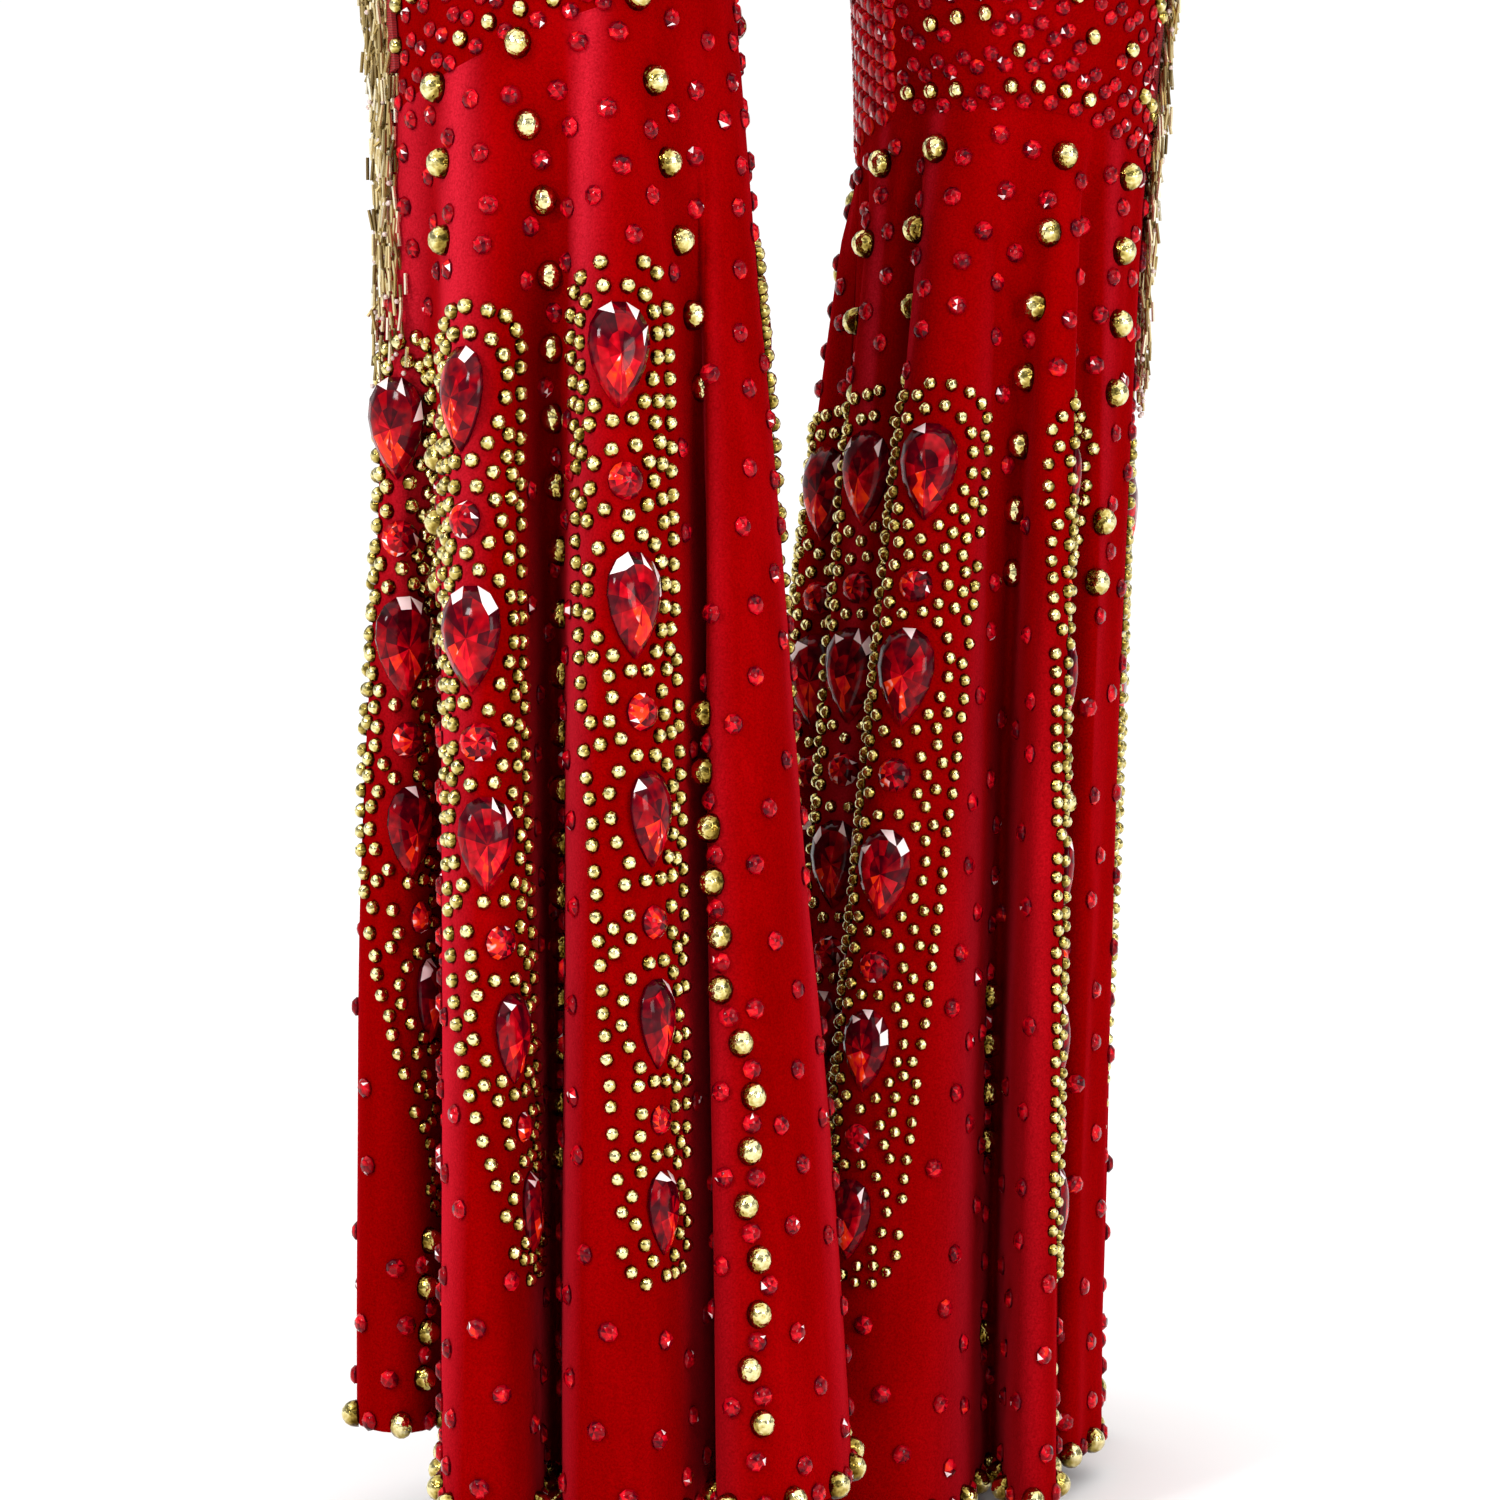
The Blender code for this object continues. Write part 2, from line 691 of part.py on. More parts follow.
def main():
    clear_scene()
    velvet = material("red velvet", (0.42, 0.004, 0.008), 0.75)
    trim = material("red velvet binding", (0.36, 0.003, 0.007), 0.7)
    beads = material("gold bugle beads", (0.62, 0.50, 0.20), 0.3, 1.0)
    panels = {}
    for leg in (RIGHT, LEFT):
        for front in (True, False):
            face = "front" if front else "back"
            panels[face, leg.name] = upper_panel(leg, front)
            outer, inner, _, _ = panels[face, leg.name]
            wall(f"{face}_{leg.name}", velvet, outer, inner)
            wall(f"flare_{face}_{leg.name}", velvet, *flare_panel(leg, front))
        arm = loop(arm_run(panels["front", leg.name]), arm_run(panels["back", leg.name])[::-1])
        binding("armhole_binding_" + leg.name, trim, *arm)
        fringe(leg, beads, beads)
    neck = loop(
        neck_run(panels["front", "r"], RIGHT),
        neck_run(panels["back", "r"], RIGHT)[::-1],
        neck_run(panels["back", "l"], LEFT),
        neck_run(panels["front", "l"], LEFT)[::-1],
    )
    binding("neck_binding", trim, *neck)


main()
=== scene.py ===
"""A red velvet stage romper, worn and striding, with long legs that end in deep fluted flares.

It is set with half-ball studs, cut red crystals and long drop stones, and has a beaded
fringe down each outside leg. Metres, +Z up, the front towards -Y and the wearer's left
towards +X. The tables give heights above the lower hem; `lowered` takes every point down by
SHOULDER, because the wearer carries the garment at its shoulder seams.
"""

import math
from typing import NamedTuple

import bpy
import numpy as np
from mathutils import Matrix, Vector
from mathutils.bvhtree import BVHTree


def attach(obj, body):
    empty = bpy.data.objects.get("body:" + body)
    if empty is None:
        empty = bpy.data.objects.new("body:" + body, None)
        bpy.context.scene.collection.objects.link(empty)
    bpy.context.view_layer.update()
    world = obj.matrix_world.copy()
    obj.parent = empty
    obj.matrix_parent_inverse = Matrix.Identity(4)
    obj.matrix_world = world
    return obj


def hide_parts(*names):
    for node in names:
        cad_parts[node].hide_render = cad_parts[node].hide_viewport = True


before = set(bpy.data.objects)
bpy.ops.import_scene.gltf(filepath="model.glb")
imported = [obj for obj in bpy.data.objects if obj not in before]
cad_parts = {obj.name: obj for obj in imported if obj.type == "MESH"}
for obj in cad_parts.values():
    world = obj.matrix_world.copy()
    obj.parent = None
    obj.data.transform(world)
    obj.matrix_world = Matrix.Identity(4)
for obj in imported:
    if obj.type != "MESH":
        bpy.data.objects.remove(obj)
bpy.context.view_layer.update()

# Cut of the garment
SHOULDER = 1.415
WALL = 0.002
EDGE = 0.000004  # what each piece gives up at a seam
SEAM_DIP = 0.0003  # how deep the cloth is drawn in along a seam
CHEST = 1.295
CROTCH_TOP = 0.870
CROTCH = 0.800
TRUNK_POWER = 2.25
NECK_SIDE = 0.078
NECK_SIDE_HEIGHT = 1.427
SHOULDER_SLOPE = 0.35
BINDING_WIDTH = 0.009
BINDING_THICK = 0.0024
BINDING_SIDES = 10
HANDLE_SPRING = 1.6

# Fineness of the cloth
UPPER_COLUMNS = 48
CHEST_STEPS = 4  # rows of cloth to each row of the chest's tables
TRUNK_ROWS = 110
CROTCH_ROWS = 18
LEG_ROWS = 90
HALF_FOLD_STEPS = 16
FLARE_ROWS = 96
FLARE_LENGTH = 0.43  # down the cloth from the knee seam to the hem
FOLDS = 8  # in each flare
STEP = 0.002  # how far apart two places are taken for a surface's slope, in its own measures
RIPPLE = 0.0004  # height of the small waves all over a flare
CREASE_START = 0.06  # how far down a flare its creases have their full height
HEM_FALL_WIDTH = 1.3  # folds either side of the longest place in which the hem rises again
CHART_COLUMNS = 48  # measured places to a fold
CHART_ROWS = 60
INSIDE = 0.08  # from the centre line to a line up the middle of each half of the garment
CREASE_SHADE_DEPTH = 0.0020  # depth of a drag line for one unit of painted shade in its trough

# Stones and studs
STUD = 0.0025  # radius of a small stud
BIG_STUD = 0.0043
BAND_STUD = 0.0027
CRYSTAL = 0.0032  # radius of a round crystal
STUD_PITCH = 0.0064  # from stud to stud along a row
STUD_ROOM = 0.0056  # the least from one stud's middle to another's, at the top of a plume
STUD_ROOM_FOOT = 0.0048
PLUME_HALF_WIDTH = 0.0222
PLUME_FOOT_WIDTH = 0.0172
PLUME_TOP_ROUND = 0.019
PLUME_FOOT_ROUND = 0.012
PLUME_MIDDLE = 0.54
PEAR_WIDTH = 0.0195
PEAR_LENGTH = 0.0325
ROUND_STONE = 0.0058  # radius
RING_CLEAR = 0.0040  # from a drop stone's edge to the studs of the ring round it
FILL_STEP = 0.0013  # between the places tried for the studs inside a plume
FILL_STRAY = 0.0006  # how far each of those places is moved at random
SEWN_STRAY = 0.00025  # how far a sewn stud strays from its place
LINE_PLACES = (0.0, 0.18, 0.42, 0.72)
LINE_FOOT = 0.975
HEM_TRIM = 0.9935
HEM_PITCH = 0.0100
LINE_STEP = 0.0250  # from one large stud to the next, at the top
LINE_CLOSING = 0.0100  # how much less it is lower down
BETWEEN_TOP = 0.43  # how far down a flare the crystals between large studs start
BETWEEN_FOOT = 0.95
STONE_ROOM = 0.0075  # from a drop or round stone's middle to a small stud's
BIG_ROOM = 0.0066  # from a large stud's middle to a small stud's
BETWEEN_ROOM = 0.0058  # from a crystal's middle, between large studs, to a small stud's
PAIR_ROOM = 0.0072  # from a crystal's middle, between large studs, to theirs
STUD_CLEAR = 0.0080  # from a single crystal's middle to a stud's
DROP_CLEAR = 0.019  # from a single crystal's middle to a drop or round stone's
STUD_OPEN = 0.0045  # space over a small stud that no other fold takes up
STONE_OPEN = 0.006
CRYSTAL_OPEN = 0.004
SCATTER_TOP = 0.0112
SCATTER_FOOT = 0.0160
SCATTER_TRIES = 16000
BAND_HEIGHTS = (0.0038, 0.0146, 0.0256, 0.0368, 0.0486, 0.0610, 0.0745)
BAND_PITCH = 0.0047
BAND_ROUND = 0.051  # radius of the leg at the bands
NET_HALF_TURN = 44  # degrees either side of the inside of the leg
NET_ROUND = 0.05  # radius of the leg at the net
NET_ACROSS = 0.0047
NET_UP = 0.0067
NET_FOOT = 0.003  # above the knee seam
LOOSE_TRIES = 420
LOOSE_FOOT = 0.082
LOOSE_REACH = 0.21
LOOSE_ROOM = 0.019  # from one single crystal of the thigh to the next, low down
LOOSE_OPENING = 0.02  # how much more it is at the top
SCATTER_FROM = 0.015  # how far down a flare the single crystals start
SCATTER_TO = 0.975
SEED = 20

# Fringe
TAPE_WIDTH = 0.018
TAPE_THICK = 0.002
TAPE_STAND = 0.0007
TAPE_TOP = 0.790
STRAND_COLUMNS = 11
STRAND_ROWS = 27
STRAND_LENGTH = 0.104
STRAND_SPREAD = 0.22  # how far the feet of a row fan out, in radians round the leg
BEAD_LENGTH = 0.0070
BEAD_RADIUS = 0.00056
BEAD_SIDES = 5
BEAD_GAP = 0.0003
BEAD_SWAY = 0.0007  # how far a bead strays from its strand's line
BEAD_TILT = 0.10  # how far a bead leans, as a share of its length
STEADY_BEADS = 0.985  # the share of beads that don't stick out
STRAND_STRAY = 0.0010  # how far a strand's end strays
TIP_RADIUS = 0.0009  # of the small bead that ends a strand
TIP_DROP = 0.0012  # from the strand's end to its middle
TAPE_ROWS = 60
FOOT_CLEAR = 0.0030  # from the cloth to the end of a strand
LEVEL = np.array([1, 1, 0])

# Camera
AIM = Vector((-0.0127, 0.0, 0.235 - SHOULDER))
DISTANCE = 1.8
ELEVATION = math.radians(7.0)
LENS = 133.0
SENSOR = 36.0
FLOOR = -SHOULDER - 0.012
FLOOR_REACH = 30.0


class Section(NamedTuple):
    """One level round of the trunk."""

    height: float
    half_width: float
    front_depth: float
    back_depth: float


class ChestRow(NamedTuple):
    """One row over the chest or shoulder blades, from the neck's edge to the armhole's."""

    neck_out: float
    neck_height: float
    arm_out: float
    arm_height: float


class LegSection(NamedTuple):
    """One round of a leg; reach is how far its middle lies out from the centre line."""

    height: float
    half_width: float
    half_depth: float
    reach: float


class Fold(NamedTuple):
    """A crest or a trough of a flare, by turns, in degrees from the front to the outside."""

    knee: float
    hem: float
    radius: float
    facing: float
    round: float
    spring: float


class Run(NamedTuple):
    """A line down a flare through three places; a whole number is a crest, a half the
    trough after it."""

    top: float
    middle: float
    foot: float


class Line(NamedTuple):
    """A line of large studs down a flare from `start`, through four places."""

    start: float
    top: float
    upper: float
    lower: float
    foot: float


class Band(NamedTuple):
    """A band down a flare's cloth, that fades in and out. Of a crease, strength is its height
    in metres, below 0 in a trough; of a band of painted light, how pale a highlight is painted
    on the pile, and below 0 how dark a shade is painted."""

    top_around: float
    foot_around: float
    top: float
    foot: float
    width: float
    strength: float


class Cut(NamedTuple):
    """The flat cut of what shows of a piece of cloth, in metres and square metres."""

    width: float
    length: float
    area: float
    held: str


class Drop(NamedTuple):
    """A stone on a plume's middle line; size is a share of the largest of its kind."""

    down: float
    size: float
    pear: bool


class Wrinkle(NamedTuple):
    """A band of drag lines round the body, with how fast their waves run up, out from the
    middle, back, to the left and from the front's side of a seam to the back's."""

    height: float
    reach: float
    up: float
    out: float
    back: float
    left: float
    behind: float
    depth: float


class Leg(NamedTuple):
    """What differs between the two legs in this stride."""

    name: str
    side: float
    stride: float
    fullness: float
    seam_height: float
    seam_dip: float
    seam_peak: float
    hem_height: float
    hem_reach: float
    hem_stride: float
    longest: float
    hem_fall: float
    tape_turn: float
    tape_end: float
    strand_lead: float
    strand_lean: float
    seams: tuple
    folds: tuple
    plumes: tuple
    plume_top: float
    plume_foot: float
    drops: tuple
    lines: tuple
    creases: tuple
    brushes: tuple
    stud: float


def records(kind, *values):
    """A table of one kind of record."""
    return tuple(kind(*row) for row in values)


TRUNK = records(
    Section,
    (1.295, 0.160, 0.106, 0.100),
    (1.235, 0.151, 0.117, 0.098),
    (1.165, 0.134, 0.103, 0.090),
    (1.080, 0.119, 0.090, 0.080),
    (1.000, 0.146, 0.101, 0.106),
    (0.925, 0.168, 0.102, 0.127),
    (0.870, 0.172, 0.096, 0.124),
)
CHEST_FRONT = records(
    ChestRow,
    (0.000, 1.295, 0.160, 1.295),
    (0.000, 1.304, 0.157, 1.297),
    (0.000, 1.316, 0.151, 1.303),
    (0.000, 1.330, 0.143, 1.316),
    (0.030, 1.336, 0.137, 1.335),
    (0.054, 1.352, 0.135, 1.354),
    (0.070, 1.378, 0.138, 1.374),
    (0.077, 1.405, 0.143, 1.391),
    (0.078, 1.420, 0.146, 1.399),
    (0.078, 1.427, 0.148, 1.4025),
)
CHEST_BACK = records(
    ChestRow,
    (0.000, 1.295, 0.160, 1.295),
    (0.000, 1.318, 0.157, 1.297),
    (0.000, 1.342, 0.151, 1.303),
    (0.000, 1.365, 0.144, 1.316),
    (0.000, 1.392, 0.140, 1.335),
    (0.030, 1.395, 0.139, 1.354),
    (0.056, 1.403, 0.141, 1.374),
    (0.072, 1.415, 0.144, 1.391),
    (0.077, 1.423, 0.1465, 1.399),
    (0.078, 1.427, 0.148, 1.4025),
)
LEG = records(
    LegSection,
    (0.800, 0.0858, 0.0950, 0.0860),
    (0.740, 0.0800, 0.0870, 0.0850),
    (0.670, 0.0720, 0.0770, 0.0820),
    (0.600, 0.0640, 0.0670, 0.0780),
    (0.530, 0.0560, 0.0580, 0.0735),
    (0.450, 0.0500, 0.0530, 0.0710),
    (0.400, 0.0490, 0.0520, 0.0705),
)

RIGHT_FOLDS = records(
    Fold,
    (-136, -140, 0.071, -140, 0.016, 1.3),
    (-118, -123, 0.051, -123, 0.007, 1.0),
    (-102, -106, 0.059, -115, 0.010, 1.2),
    (-88, -80, 0.067, -100, 0.014, 1.0),
    (-66, -27, 0.122, -35, 0.042, 1.1),
    (-43, -43, 0.065, -2, 0.007, 1.4),
    (-20, -3, 0.117, 4, 0.025, 1.7),
    (2, 17, 0.044, 0, 0.009, 2.0),
    (28, 17, 0.114, 10, 0.024, 1.9),
    (54, 112, 0.051, 20, 0.007, 1.6),
    (80, 80, 0.070, 45, 0.020, 3.0),
    (100, 134, 0.054, 134, 0.008, 1.0),
    (132, 148, 0.092, 146, 0.024, 1.6),
    (154, 166, 0.058, 165, 0.008, 1.3),
    (180, 188, 0.098, 186, 0.026, 1.5),
    (202, 204, 0.060, 204, 0.008, 1.2),
)
LEFT_FOLDS = records(
    Fold,
    (-100, -85, 0.062, -95, 0.020, 1.1),
    (-82, -57, 0.050, -75, 0.007, 1.0),
    (-60, -40, 0.074, -30, 0.018, 1.3),
    (-42, -27, 0.060, -31, 0.006, 1.5),
    (-18, -12.5, 0.113, -7, 0.038, 1.5),
    (8, 19, 0.050, 3, 0.008, 1.8),
    (24, 15.5, 0.105, 8, 0.012, 1.6),
    (40, 37, 0.066, 20, 0.006, 1.5),
    (62, 60, 0.059, 60, 0.018, 1.6),
    (88, 96, 0.041, 96, 0.008, 1.0),
    (116, 128, 0.068, 128, 0.020, 1.4),
    (140, 152, 0.052, 152, 0.008, 1.2),
    (166, 178, 0.098, 176, 0.026, 1.5),
    (192, 200, 0.060, 200, 0.008, 1.2),
    (216, 222, 0.090, 222, 0.024, 1.4),
    (240, 245, 0.050, 245, 0.008, 1.1),
)
RIGHT_PLUMES = records(
    Run,
    (0.20, 0.18, 0.15),
    (1.55, 1.50, 1.45),
    (3.00, 2.90, 2.88),
    (4.06, 3.98, 3.80),
    (4.87, 4.87, 4.68),
    (5.65, 5.60, 5.55),
    (6.45, 6.43, 6.40),
    (7.20, 7.18, 7.15),
)
LEFT_PLUMES = records(
    Run,
    (0.25, 0.23, 0.20),
    (1.13, 1.05, 1.00),
    (2.00, 1.97, 1.94),
    (3.30, 3.25, 3.20),
    (4.60, 4.58, 4.55),
    (5.50, 5.50, 5.50),
    (6.45, 6.45, 6.45),
    (7.33, 7.33, 7.33),
)
RIGHT_LINES = records(
    Line,
    (0.012, 0.87, 0.87, 0.84, 0.80),
    (0.000, 2.83, 2.61, 2.22, 2.03),
    (0.004, 3.72, 3.49, 3.32, 3.29),
    (0.006, 4.29, 4.14, 4.45, 4.45),
    (0.030, 5.20, 5.22, 5.05, 4.86),
    (0.010, 6.05, 6.05, 6.02, 6.00),
    (0.034, 6.82, 6.82, 6.80, 6.78),
    (0.016, 7.70, 7.70, 7.67, 7.65),
)
LEFT_LINES = records(
    Line,
    (0.030, 1.20, 0.75, 0.70, 0.68),
    (0.030, 1.85, 1.58, 1.50, 1.46),
    (0.030, 3.00, 2.67, 2.43, 2.36),
    (0.026, 3.85, 3.80, 3.54, 3.36),
    (0.040, 5.05, 5.05, 5.04, 5.03),
    (0.020, 5.97, 5.97, 5.98, 5.98),
    (0.044, 6.88, 6.88, 6.89, 6.90),
    (0.024, 7.79, 7.79, 7.79, 7.78),
)
RIGHT_CREASES = records(
    Band,
    (5.06, 5.06, 0.30, 1.55, 0.34, 0.0055),
    (1.74, 1.76, 0.62, 1.60, 0.30, 0.0035),
    (1.9, 2.05, 0.30, 1.10, 0.05, 0.0012),
    (2.2, 2.2, 0.00, 0.45, 0.06, -0.0010),
    (2.95, 2.9, 0.45, 1.10, 0.06, 0.0010),
    (3.2, 3.1, -0.05, 0.40, 0.07, -0.0012),
    (4.05, 4.0, 0.15, 0.80, 0.05, 0.0011),
    (4.85, 4.9, 0.00, 0.60, 0.06, 0.0010),
    (5.2, 5.1, 0.35, 1.10, 0.06, -0.0010),
    (5.8, 5.95, 0.05, 0.70, 0.07, 0.0013),
    (6.2, 6.1, 0.30, 1.10, 0.06, -0.0011),
    (6.85, 6.95, 0.00, 0.55, 0.06, 0.0012),
    (7.25, 7.2, 0.40, 1.10, 0.07, -0.0011),
    (0.2, 0.15, 0.05, 0.65, 0.06, 0.0010),
)
LEFT_CREASES = records(
    Band,
    (0.02, -0.10, -0.05, 0.95, 0.36, 0.0085),
    (3.40, 3.42, -0.20, 1.20, 0.16, -0.0090),
    (1.56, 1.50, -0.20, 0.75, 0.12, -0.0065),
    (0.72, 0.70, -0.20, 0.70, 0.12, -0.0050),
    (1.8, 1.78, 0.00, 0.70, 0.05, -0.0010),
    (2.12, 2.16, 0.35, 1.10, 0.045, 0.0014),
    (2.3, 2.3, 0.00, 0.50, 0.05, -0.0010),
    (2.95, 2.98, 0.20, 1.10, 0.05, 0.0012),
    (3.6, 3.7, 0.10, 0.80, 0.06, 0.0011),
    (4.2, 4.15, 0.30, 1.10, 0.06, -0.0010),
    (4.9, 5.0, 0.00, 0.60, 0.07, 0.0012),
    (5.7, 5.8, 0.25, 1.10, 0.06, -0.0010),
    (6.1, 6.05, 0.05, 0.70, 0.06, 0.0012),
    (6.9, 6.95, 0.35, 1.10, 0.06, 0.0011),
    (7.7, 7.75, 0.10, 0.80, 0.06, -0.0010),
    (0.8, 0.85, 0.05, 0.60, 0.06, 0.0010),
)
# Bands of painted light on the flares' pile: strength above 0 paints a pale highlight, below 0 a dark
# shade
RIGHT_LIGHT_BANDS = records(
    Band,
    (4.70, 4.75, -0.30, 0.55, 0.30, 0.75),
    (4.13, 4.17, -0.60, 1.30, 0.13, 1.00),
    (3.90, 3.92, 0.30, 1.40, 0.15, -0.60),
    (3.20, 3.22, -0.30, 1.30, 0.11, 1.00),
    (3.00, 2.99, 0.35, 1.40, 0.10, -0.35),
    (2.10, 2.12, 0.10, 1.30, 0.045, 0.25),
    (1.80, 1.85, 0.20, 1.20, 0.04, 0.40),
    (2.74, 2.73, 0.35, 1.30, 0.08, 0.50),
    (5.75, 5.70, 0.10, 1.20, 0.14, 0.60),
    (6.80, 6.85, -0.20, 0.90, 0.12, 0.50),
    (7.30, 7.30, 0.30, 1.30, 0.14, 0.60),
    (0.30, 0.25, -0.10, 1.10, 0.12, 0.50),
)
LEFT_LIGHT_BANDS = records(
    Band,
    (2.24, 2.22, 0.05, 1.35, 0.08, 0.50),
    (1.78, 1.76, -0.20, 0.90, 0.07, 0.55),
    (2.95, 2.90, 0.30, 1.30, 0.12, 0.30),
    (1.10, 1.05, -0.30, 0.80, 0.09, 0.55),
    (3.70, 3.75, -0.20, 0.70, 0.12, 0.40),
    (4.30, 4.25, 0.20, 1.30, 0.12, 0.45),
    (5.25, 5.20, -0.10, 1.10, 0.14, 0.60),
    (6.30, 6.25, 0.20, 1.30, 0.14, 0.55),
    (7.10, 7.05, -0.20, 0.90, 0.12, 0.55),
)


def by_turns(*places):
    """A plume's stones from (down, size), pears and round stones by turns."""
    return tuple(Drop(*place, pear=turn % 2 == 0) for turn, place in enumerate(places))


RIGHT_DROPS = by_turns(
    (0.235, 1.00),
    (0.318, 1.00),
    (0.400, 1.00),
    (0.470, 1.00),
    (0.540, 0.90),
    (0.607, 0.90),
    (0.673, 0.85),
    (0.735, 0.80),
    (0.795, 0.80),
)
LEFT_DROPS = by_turns(
    (0.262, 0.98),
    (0.342, 0.95),
    (0.407, 0.98),
    (0.476, 0.95),
    (0.546, 0.90),
    (0.610, 0.90),
    (0.669, 0.82),
    (0.730, 0.80),
    (0.787, 0.80),
)
WRINKLES = {
    "waist": Wrinkle(1.085, 0.055, 165, 30, 0, 0, 9, 0.0023),
    "crotch": Wrinkle(0.84, 0.05, 120, -80, 20, 0, 0, 0.0024),
    "bust": Wrinkle(1.225, 0.05, 105, -75, 0, 0, 2, 0.0016),
    "arm": Wrinkle(1.33, 0.04, 150, 150, 0, 0, 0, 0.0012),
    "knee": Wrinkle(0.56, 0.04, 160, 0, 40, 25, 0, 0.0014),
    "seat": Wrinkle(0.90, 0.05, 95, 48, 0, 0, 0, 0.0020),
}

RIGHT = Leg(
    name="r",
    side=-1.0,
    stride=-0.055,
    fullness=1.04,
    seam_height=0.480,
    seam_dip=0.046,
    seam_peak=-60.0,
    hem_height=0.028,
    hem_reach=0.060,
    hem_stride=-0.050,
    longest=3.3,
    hem_fall=0.012,
    tape_turn=76.0,
    tape_end=0.012,
    strand_lead=0.07,
    strand_lean=0.60,
    seams=(1.5, 5.5),
    folds=RIGHT_FOLDS,
    plumes=RIGHT_PLUMES,
    plume_top=0.170,
    plume_foot=0.845,
    drops=RIGHT_DROPS,
    lines=RIGHT_LINES,
    creases=RIGHT_CREASES,
    brushes=RIGHT_LIGHT_BANDS,
    stud=0.00255,
)
LEFT = Leg(
    name="l",
    side=1.0,
    stride=0.055,
    fullness=0.94,
    seam_height=0.443,
    seam_dip=0.040,
    seam_peak=-10.0,
    hem_height=0.0,
    hem_reach=0.050,
    hem_stride=0.045,
    longest=1.8,
    hem_fall=0.006,
    tape_turn=98.0,
    tape_end=0.021,
    strand_lead=0.04,
    strand_lean=0.90,
    seams=(0.5, 4.5),
    folds=LEFT_FOLDS,
    plumes=LEFT_PLUMES,
    plume_top=0.198,
    plume_foot=0.838,
    drops=LEFT_DROPS,
    lines=LEFT_LINES,
    creases=LEFT_CREASES,
    brushes=LEFT_LIGHT_BANDS,
    stud=0.00224,
)

# Surfaces of the cloth


def read(rows, name):
    """One named column of a table."""
    return np.array([getattr(row, name) for row in rows], float)


def smooth(rows, name, height):
    """A named column at any height, on a cubic Hermite curve that starts level at the top."""
    heights = read(rows, "height")[::-1]
    values = read(rows, name)[::-1]
    slopes = np.gradient(values, heights)
    slopes[-1] = 0.0
    low = np.clip(np.searchsorted(heights, height) - 1, 0, len(heights) - 2)
    step = heights[low + 1] - heights[low]
    t = (height - heights[low]) / step
    rest = 1 - t
    return (
        (1 + 2 * t) * rest**2 * values[low]
        + t * rest**2 * step * slopes[low]
        + t**2 * (3 - 2 * t) * values[low + 1]
        - t**2 * rest * step * slopes[low + 1]
    )


def unit(vectors):
    return vectors / np.linalg.norm(vectors, axis=-1, keepdims=True)


def power(value, exponent):
    return np.sign(value) * np.abs(value) ** exponent


def trunk_row(leg, front, across, height):
    """A level row of the trunk, a quarter of a superellipse from centre line to side seam."""
    turn = across * math.pi / 2
    depth = smooth(TRUNK, "front_depth" if front else "back_depth", height)
    width = smooth(TRUNK, "half_width", height)
    x = leg.side * width * power(np.sin(turn), 2 / TRUNK_POWER)
    y = (-depth if front else depth) * power(np.cos(turn), 2 / TRUNK_POWER)
    return np.stack([x, y, np.full_like(across, height)], axis=-1)


def chest_depth(front, out, height):
    """How far the chest stands off the middle plane: a superellipse level, a quarter round up."""
    seam = NECK_SIDE_HEIGHT - SHOULDER_SLOPE * (np.abs(out) - NECK_SIDE)
    below = np.clip((seam - height) / (seam - CHEST), 0, 1)
    depth = TRUNK[0].front_depth if front else TRUNK[0].back_depth
    width = np.clip(1 - (np.abs(out) / TRUNK[0].half_width) ** TRUNK_POWER, 0, 1)
    return depth * width ** (1 / TRUNK_POWER) * np.sqrt(1 - (1 - below) ** 2)


def chest_row(leg, front, across, row):
    """A row above the armhole's foot, straight from the neck's edge to the armhole's, with its
    points spaced as the trunk's are at the foot and more and more evenly upwards."""
    even = (row[3] - CHEST) / (CHEST_FRONT[-1].arm_height - CHEST)
    spread = across * even + power(np.sin(across * math.pi / 2), 2 / TRUNK_POWER) * (1 - even)
    out = row[0] + (row[2] - row[0]) * spread
    height = row[1] + (row[3] - row[1]) * spread
    depth = chest_depth(front, out, height)
    return np.stack([leg.side * out, -depth if front else depth, height], axis=-1)


def chest_rows(front):
    """The chest's table with CHEST_STEPS rows for each of its own, along straight lines."""
    table = np.array(CHEST_FRONT if front else CHEST_BACK)
    place = np.arange((len(table) - 1) * CHEST_STEPS + 1) / CHEST_STEPS
    return np.stack([np.interp(place, np.arange(len(table)), column) for column in table.T], -1)


def chest_normals(leg, front, points):
    """Outward unit normals of the chest, from the slopes of its depth."""
    step = 0.0005
    out = np.minimum(points[..., 0] * leg.side, TRUNK[0].half_width - step)
    height = points[..., 2] - 2 * step
    here = chest_depth(front, out, height)
    over = (here - chest_depth(front, out + step, height)) / step * leg.side
    up = (chest_depth(front, out, height - step) - here) / step
    return unit(np.stack([over, np.full_like(over, -1.0 if front else 1.0), up], axis=-1))


def knee_seam(leg, turn):
    """The seam's height round the leg: one slanted cosine wave, highest at seam_peak."""
    return leg.seam_height - leg.seam_dip * (1 - np.cos(turn - math.radians(leg.seam_peak))) / 2


def leg_surface(leg, turn, drop):
    """A point of the thigh: an ellipse at each height, `drop` from crotch 0 to knee seam 1."""
    height = CROTCH + (knee_seam(leg, turn) - CROTCH) * drop
    fullness = 1 + (leg.fullness - 1) * drop
    width = smooth(LEG, "half_width", height) * fullness
    depth = smooth(LEG, "half_depth", height) * fullness
    x = leg.side * (smooth(LEG, "reach", height) + width * np.sin(turn))
    y = leg.stride * drop**1.4 - depth * np.cos(turn)
    return np.stack([x, y, height], axis=-1)


def leg_row(leg, front, across, drop):
    """A row of the thigh from the inside leg to the outside, over the front or the back."""
    turn = (across - 0.5) * math.pi
    if not front:
        turn = math.pi - turn
    return leg_surface(leg, turn, np.full_like(across, drop))


